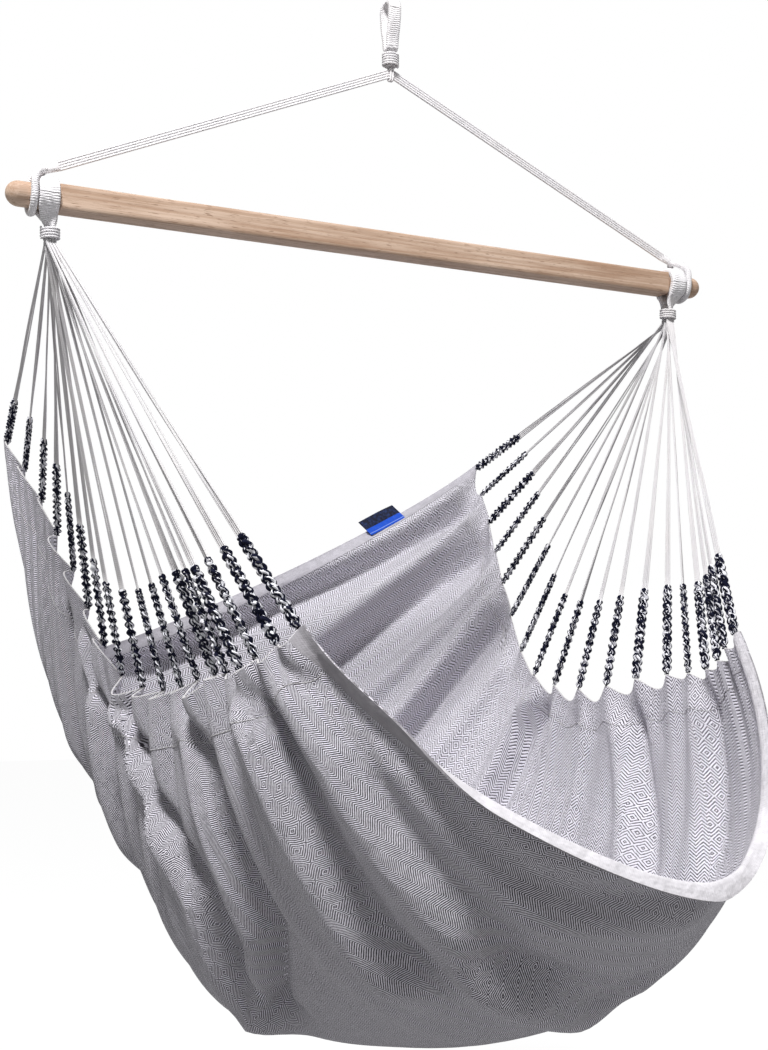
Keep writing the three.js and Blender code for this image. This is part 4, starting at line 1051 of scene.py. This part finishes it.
class CHAIR_OT_bar(bpy.types.Operator):
    """Adds the spreader bar"""

    bl_idname = "chair.bar"
    bl_label = "Spreader bar"

    def execute(self, context):
        """Sections that go from the domed, turned end to a rounded oblong: the superellipse
        |y / (depth / 2)| ** n + |z / (height / 2)| ** n = 1."""
        wood = wood_material(context.scene.chair_bar)
        half = BAR_LENGTH / 2
        dome = np.linspace(0, math.pi / 2, 14)[1:]
        end = -half + DOME_LENGTH * (1 - np.cos(dome))
        turned = np.linspace(end[-1], -SHOULDER - 2.5, 8)[1:]
        step = np.linspace(-SHOULDER - 1.8, -SHOULDER + 2.2, 9)
        x = np.concatenate([end, turned, step, np.linspace(-SHOULDER + 3, 0, 60)])
        scale = np.ones_like(x)
        scale[: len(dome)] = np.sin(dome)
        square = eased((x + SHOULDER + SHOULDER_EASE) / (2 * SHOULDER_EASE))
        x = np.append(x, -x[-2::-1])
        scale, square = (np.append(a, a[-2::-1])[:, None] for a in (scale, square))
        angle = round_angles(64)
        c, s, n = np.cos(angle), np.sin(angle), BAR_SQUARENESS
        boxy = (np.abs(c / (BAR_DEPTH / 2)) ** n + np.abs(s / (BAR_HEIGHT / 2)) ** n) ** (-1 / n)
        edge = scale * (TURNED_RADIUS + (boxy - TURNED_RADIUS) * square)
        points = np.stack([x[:, None] + 0 * angle, edge * c, edge * s - BAR_DROP], -1)
        shells = [(closed_tube(points, x + half), 0)]
        add_piece("wooden_spreader_bar", shells, [wood], "bar", ["spreader_bar"], 40)
        return {"FINISHED"}


class CHAIR_OT_harness_loops(bpy.types.Operator):
    """Adds the seat's two served harness loops and the whippings below them"""

    bl_idname = "chair.harness_loops"
    bl_label = "Harness loops"

    def execute(self, context):
        """Each strap runs round the bar, then bends in to the throat, where it is narrower and
        thinner."""
        cords = context.scene.chair_cords
        served = cotton_cord_material(cords, "served_cotton_harness", 6, 3.0, 0.15)
        middle = HARNESS_INNER + HARNESS_THICKNESS / 2
        q = np.linspace(-HARNESS_LEAVES, HARNESS_LEAVES, 120)
        arc = np.stack([0 * q, middle * np.sin(q), middle * np.cos(q)], -1)
        turned = math.pi - HARNESS_LEAVES
        away = np.array([0, -math.cos(turned), -math.sin(turned)])
        end = np.array([0, HARNESS_END[0], -THROAT_FOOT + HARNESS_END[1]])
        down = round_bend(arc[-1], arc[-1] + away * HARNESS_PULL, end, 26)[1:]
        path = np.vstack([arc, down, (down * (1, -1, 1))[::-1]])
        depth = np.clip((-path[:, 2] - HARNESS_TAPER_TOP) / HARNESS_TAPER, 0, 1)
        width = HARNESS_WIDTH - WINDING_WIDTH - HARNESS_NARROWS * depth
        thickness = HARNESS_THICKNESS - WINDING_THICKNESS - HARNESS_THINS * depth
        path += (0, 0, -BAR_DROP)
        path[:, 0] = HARNESS_MIDDLE - THROAT_OFFSET * depth
        strap = served_strap(path, width, thickness, cords.serving_pitch, (0, 0.001, 1))
        foot = -BAR_DROP - THROAT_FOOT
        core = gathered_cylinder(THROAT_X, THROAT_RADIUS - 0.3, -BAR_DROP - 39, foot, 13)
        height = foot + TOUCH_GAP + WHIPPING_RADIUS + WHIPPING_PITCH * WHIPPING_TURNS / 2
        turns = upright_winding(
            THROAT_X, THROAT_RADIUS, WHIPPING_RADIUS, WHIPPING_PITCH, WHIPPING_TURNS, height
        )
        for side, sign in SIDES:
            for name, shells, node, slot in (
                ("served_harness_loop", (strap, core), "harness_loop", "served_cord"),
                ("twisted_whipping", (turns,), "throat_whipping", "white_cord"),
            ):
                pairs = [(on_side(shell, sign), 0) for shell in shells]
                add_piece(f"{name}_{side}", pairs, [served], "seat", [f"{node}_{side}"])
        return {"FINISHED"}


class CHAIR_OT_lines(bpy.types.Operator):
    """Adds the thirty-six suspension lines, each of thin cords that end in a plait"""

    bl_idname = "chair.lines"
    bl_label = "Suspension lines"

    def execute(self, context):
        scene = context.scene
        # The thin cords take the cord's colours at 0.8 of their brightness: a painted shade on the
        # same cotton
        thin = cotton_cord_material(scene.chair_cords, "thin_cotton_cord", 2, 3.0, 0.05, 0.8)
        kinds = [thin, plait_material(scene.chair_plaits)]
        draws = np.random.default_rng(7)
        for side, sign in reversed(SIDES):
            seats = header_points(scene.chair_cloth, sign)
            edges = np.gradient(seats, axis=0)
            for count in range(LINES_PER_SIDE):
                top, corner = self.throat(sign, count)
                ends = (top, corner, seats[count], edges[count])
                shells = self.line(scene.chair_plaits, *ends, draws)
                number = f"{side}_{count + 1:02d}"
                node = f"suspension_line_{number}"
                add_piece(f"plaited_line_{number}", shells, kinds, "seat", [node])
        return {"FINISHED"}

    def throat(self, sign, count):
        """Where a line leaves the throat, row by row, and the corner where it turns outwards."""
        row = int(np.searchsorted(np.cumsum(LINE_ROWS), count, side="right"))
        place = count - sum(LINE_ROWS[:row])
        pitch = 2 * LINE_RADIUS + LINE_GAP
        inwards = (place - (LINE_ROWS[row] - 1) / 2) * pitch
        behind = ((len(LINE_ROWS) - 1) / 2 - row) * pitch * math.sqrt(3) / 2
        top = np.array([sign * (THROAT_X - inwards), behind, -BAR_DROP - THROAT_FOOT - TOUCH_GAP])
        return top, top - (0, 0, LINE_RUN * LINE_RUN_SHARES[row])

    def line(self, plaits, top, corner, seat, edge, draws):
        """Thin cords run from a tight bundle at the throat to the plait's width, and stray a
        little on the way."""
        down = unit(seat - corner)
        tip = seat - down * (CLOTH_THICKNESS / 2 + PLAIT_SEAT_GAP)
        head = tip - down * PLAIT_LENGTH
        last = corner + down * LINE_BEND
        bend = round_bend(corner + (0, 0, LINE_BEND), corner, last, 5)
        straight = last + (head + down * 4 - last) * np.linspace(0, 1, 22)[1:, None]
        path = np.vstack([top, bend, straight])
        run = lengths_along(path)
        share = (run / run[-1])[:, None]
        flat = unit(unit(edge) + draws.normal(0, 0.3, 3))
        a, b = frames_along(path, flat)
        shells = []
        for j in range(THIN_CORDS):
            q = TAU * (j + 0.5) / THIN_CORDS
            tight = 1.05 * (math.cos(q) * a + math.sin(q) * b)
            middle = path + tight * (1 - share**2)
            middle += (j - (THIN_CORDS - 1) / 2) * THIN_SPREAD * a * share**2
            stray = draws.normal(0, 0.9, 2) * np.sin(math.pi * share) ** 2
            middle += stray[:, :1] * a + stray[:, 1:] * b
            middle += draws.normal(0, 0.3) * np.sin(3 * math.pi * share) * b
            shells.append((round_cord(middle, 0.8 + 0.4 * share + 0 * round_angles(7), flat), 0))
        return shells + [(shell, 1) for shell in self.plait(plaits, head, tip, flat, draws)]

    def plait(self, plaits, head, tip, flat, draws):
        """Three strands and a knob at their head: strand i lies at (a sin(w + 2 pi i / 3),
        b sin(2 w + 4 pi i / 3)), with w = 2 pi s / period."""
        down = unit(tip - head)
        a = unit(flat - (flat @ down) * down)
        b = np.cross(down, a)
        run = np.linspace(0, PLAIT_LENGTH, 100)[:, None]
        wave = TAU * run / plaits.period + draws.uniform(0, TAU)
        taper = 0.55 + 0.45 * np.clip(np.minimum(run, PLAIT_LENGTH - run) / 9, 0, 1)
        angle = round_angles(8)
        wide = plaits.width * 0.22 * taper * np.cos(angle)
        thick = plaits.width * 0.17 * taper * np.sin(angle)
        shells = []
        for strand in range(STRANDS):
            turned = wave + TAU * strand / STRANDS
            x = plaits.width * 0.28 * taper * np.sin(turned) + wide
            y = plaits.width * 0.13 * np.sin(2 * turned) + thick
            centre = (head + down * run)[:, None]
            shells.append(closed_tube(centre + x[..., None] * a + y[..., None] * b, run[:, 0]))
        share = np.linspace(0, 1, 9)[:, None]
        swell = np.sqrt(np.clip(1 - (2 * share - 1) ** 2, 0.04, 1)) * plaits.width * 0.4
        edge = swell * lobed(2 * angle + 3 * share, 0.12)
        around = np.cos(angle)[..., None] * a + 0.75 * np.sin(angle)[..., None] * b
        knob = (head + down * KNOB_LENGTH * (share - 1 / 3))[:, None] + edge[..., None] * around
        return shells + [closed_tube(knob, share[:, 0] * KNOB_LENGTH)]


class CHAIR_OT_seat(bpy.types.Operator):
    """Adds the gathered cloth, its header edging and seams, and its two edge bands"""

    bl_idname = "chair.seat"
    bl_label = "Seat cloth"

    def execute(self, context):
        cloth, cords = context.scene.chair_cloth, context.scene.chair_cords
        outside = twill_material(cloth, "cotton_herringbone_twill", 0.9, 1.3)
        inside = twill_material(cloth, "cotton_herringbone_twill_reverse", 0.46, 0.62, 1.7)
        selvedge = band_material("plain_cotton_selvedge", cloth.band)
        # The bands' outer faces take a darker colour than their inner faces: a painted shade
        back = band_material("plain_cotton_selvedge_back_painted_shade", cloth.band_outer_shaded)
        # The back band's inner face takes the greyer colour
        worn = band_material("grey_cotton_selvedge", cloth.back_band_grey)
        thread = cotton_cord_material(cords, "overcast_cotton_thread", 3, 6.0, 0.15, 0.8)
        station = np.unique(np.concatenate([np.linspace(0, 1, 284), np.linspace(0.975, 1, 24)]))
        reach = self.reaches()
        station, grid_t = np.meshgrid(station, reach, indexing="ij")
        shell = self.sheet(cloth, station, grid_t, self.thickness(grid_t))
        shells = [(shell, np.repeat([0, 1], len(reach)))]
        seat = add_piece(
            "twill_seat_cloth", shells, [outside, inside], "seat", ["seat_cloth"], 60
        )
        extras = [
            self.band(cloth, [back, worn], 0, "back"),
            self.band(cloth, [back, selvedge], 1, "front"),
        ]
        for side, sign in reversed(SIDES):
            extras.append(self.edging(cloth, thread, sign, side))
            extras.append(self.seam(cloth, thread, sign, side))
        return {"FINISHED"}

    def reaches(self):
        """Rows across the cloth, closer together at the headers and at the hems' seams."""
        near = np.linspace(0, 1, 64) ** 0.8
        near = np.concatenate([near, np.linspace(0.895, 0.945, 11), np.linspace(0.95, 1, 6)])
        near = np.unique(near)
        return np.concatenate([-near[:0:-1], near])

    def thickness(self, reach):
        """The hem along each header is two cloths thick."""
        hem = np.clip((np.abs(reach) - np.where(reach < 0, *HEM_REACHES)) / 0.005, 0, 1)
        return CLOTH_THICKNESS * (1 + 0.6 * hem)

    def sheet(self, cloth, station, reach, thick):
        """Both faces of the cloth, thick / 2 either side of the folded surface, closed at the rim.
        Its flat coordinates are the share of the way across times its width, taken as a mean of
        the rows nearby, and the length run from the keel."""
        middle = folded_cloth(cloth, station, reach)
        normal = normals_of(lambda s, t: folded_cloth(cloth, s, t), station, reach)
        step = np.linalg.norm(np.diff(middle, axis=1), axis=-1)
        run = np.concatenate([np.zeros_like(step[:, :1]), np.cumsum(step, 1)], 1)
        keel = int(np.argmin(np.abs(reach[0])))
        over = np.cumsum(np.linalg.norm(np.diff(middle, axis=0), axis=-1), 0)
        share = np.concatenate([np.zeros_like(over[:1]), over / over[-1:]])
        rows = 2 * WEAVE_ROWS + 1
        padded = np.pad(share, ((0, 0), (WEAVE_ROWS + 1, WEAVE_ROWS)), mode="edge")
        total = np.cumsum(padded, 1)
        share = (total[:, rows:] - total[:, :-rows]) / rows
        even = station[:1] + (station[-1:] - station[:1]) * share
        across = (WEAVE_EVEN * even + (1 - WEAVE_EVEN) * station) * CLOTH_WIDTH
        lift = normal * (thick / 2)[..., None]
        flat = np.stack([across, run - run[:, keel : keel + 1]], -1)
        return two_faced(middle + lift, middle - lift, flat)

    def band(self, cloth, materials, edge, name):
        """A tape folded over the edge: the cloth's surface, a band wide, and a little thicker."""
        reach = np.linspace(-1, 1, 360)
        rim = smooth_cloth(np.full_like(reach, edge), reach)
        along = unit(np.gradient(rim, axis=0))
        inwards = smooth_cloth(np.full_like(reach, abs(edge - EDGE_STEP)), reach) - rim
        square = inwards - (inwards * along).sum(-1, keepdims=True) * along
        share = BAND_WIDTH / np.linalg.norm(square, axis=-1) * EDGE_STEP
        share = np.minimum(share, WIDEST_BAND)
        station = np.abs(edge - np.linspace(0, 1, 9)[:, None] * share[None, :])
        grid_t = np.broadcast_to(reach, station.shape)
        thick = np.full(station.shape, CLOTH_THICKNESS + BAND_EXTRA)
        shell = self.sheet(cloth, station, grid_t, thick)
        shells = [(shell, np.repeat([0, 1], len(reach)))]
        node = f"{name}_edge_band"
        return add_piece(
            f"{name}_selvedge_band", shells, materials, "seat", [node], 50
        )

    def edging(self, cloth, thread, sign, name):
        """A frayed rope along the header: a tube on the header's line whose radius is
        0.8 + 0.6 * |sin(pi s / stitch)|, with each bump drawn round it a little."""
        station = np.linspace(0.002, 0.998, 2400)
        path = folded_cloth(cloth, station, np.full_like(station, sign))
        bumps = math.pi * lengths_along(path)[:, None] / STITCH + 0.5 * round_angles(8)
        shell = round_cord(path, 0.8 + 0.6 * np.abs(np.sin(bumps)), (1, 0, 0.01))
        return add_piece(f"header_edging_{name}", [(shell, 0)], [thread], "seat", ())

    def seam(self, cloth, thread, sign, name):
        """The hem's row of stitches: a thin thread that dips into the cloth at every stitch, on
        the outer and on the inner face."""
        station = np.linspace(0.02, 0.98, 2600)
        reach = np.full_like(station, sign * HEM_REACHES[0 if sign < 0 else 1])
        middle = folded_cloth(cloth, station, reach)
        normal = normals_of(lambda s, t: folded_cloth(cloth, s, t), station, reach)
        run = lengths_along(middle)[:, None]
        dip = 0.25 + 0.75 * np.abs(np.sin(math.pi * run / STITCH)) ** 0.5
        stand = CLOTH_THICKNESS / 2 + STITCH_RISE * dip
        edge = 0.5 + 0 * run + 0 * round_angles(6)
        shells = [
            (round_cord(middle + face * normal * stand, edge, (1, 0, 0.01), run[:, 0]), 0)
            for face in (1, -1)
        ]
        return add_piece(f"hem_stitches_{name}", shells, [thread], "seat", ())


class CHAIR_OT_label(bpy.types.Operator):
    """Adds the plain woven label on the back edge"""

    bl_idname = "chair.label"
    bl_label = "Label"

    def execute(self, context):
        """A flat tab in the plane of the cloth's back edge, bowed a little, with its foot out in
        front of the band."""
        stations = np.array([0, 0, 0, SMALL])
        reaches = LABEL_PLACE_SHARE + np.array([0, SMALL, -SMALL, 0])
        here = folded_cloth(context.scene.chair_cloth, stations[:1], reaches[:1])[0]
        flat_here, right, left, below = smooth_cloth(stations, reaches)
        along = unit(right - left)
        facing = unit(np.cross(below - flat_here, along))
        facing = -facing if facing[1] > 0 else facing
        up = unit(np.cross(facing, along))
        up = -up if up[2] < 0 else up
        lift = CLOTH_THICKNESS / 2 + TOUCH_GAP + LABEL_THICKNESS / 2 + LABEL_CLEARANCE
        centre = here + facing * lift + up * LABEL_HEIGHT * (LABEL_STANDING_SHARE - 0.5)
        u = np.linspace(-0.5, 0.5, 42)[:, None] + np.zeros((1, 22))
        v = np.linspace(-0.5, 0.5, 22)[None, :] + np.zeros((42, 1))
        bow = 1.4 * np.cos(math.pi * u) * (v + 0.5) + 0.7 * np.sin(5 * u + 2 * v)
        bow += LABEL_LEAN * (0.5 - v)
        sizes = ((u, LABEL_LENGTH, along), (v, LABEL_HEIGHT, up), (bow, 1, facing))
        sheet = centre + sum((share * length)[..., None] * way for share, length, way in sizes)
        flat = np.stack([(u + 0.5) * LABEL_LENGTH, (v + 0.5) * LABEL_HEIGHT], -1)
        half = facing * LABEL_THICKNESS / 2
        shells = [(two_faced(sheet + half, sheet - half, flat), 0)]
        kinds = [label_material()]
        add_piece("woven_label", shells, kinds, "seat", ["label_tab"], 50)
        return {"FINISHED"}


class CHAIR_PT_sidebar(bpy.types.Panel):
    """Sizes, colours and the pieces to add"""

    bl_idname = "CHAIR_PT_sidebar"
    bl_label = "Hammock chair"
    bl_space_type = "VIEW_3D"
    bl_region_type = "UI"
    bl_category = "Chair"

    def draw(self, context):
        for name in GROUPS:
            group = getattr(context.scene, name)
            column = self.layout.column(align=True)
            for key in group.bl_rna.properties.keys():
                if key not in ("rna_type", "name"):
                    column.prop(group, key)
        for operator in OPERATORS:
            self.layout.operator(operator.bl_idname)


GROUPS = {
    "chair_cords": ChairCords,
    "chair_plaits": ChairPlaits,
    "chair_cloth": ChairCloth,
    "chair_bar": ChairBar,
    "chair_stage": ChairStage,
}
OPERATORS = (
    CHAIR_OT_stage,
    CHAIR_OT_hanging_loop,
    CHAIR_OT_bridle,
    CHAIR_OT_bar,
    CHAIR_OT_harness_loops,
    CHAIR_OT_lines,
    CHAIR_OT_seat,
    CHAIR_OT_label,
)


def register():
    for kind in (*GROUPS.values(), *OPERATORS, CHAIR_PT_sidebar):
        bpy.utils.register_class(kind)
    for name, group in GROUPS.items():
        setattr(bpy.types.Scene, name, PointerProperty(type=group))


def unregister():
    for name in GROUPS:
        delattr(bpy.types.Scene, name)
    for kind in (CHAIR_PT_sidebar, *reversed(OPERATORS), *reversed(GROUPS.values())):
        bpy.utils.unregister_class(kind)


def main():
    register()
    for operator in OPERATORS:
        group, name = operator.bl_idname.split(".")
        getattr(getattr(bpy.ops, group), name)()


if __name__ == "__main__":
    main()
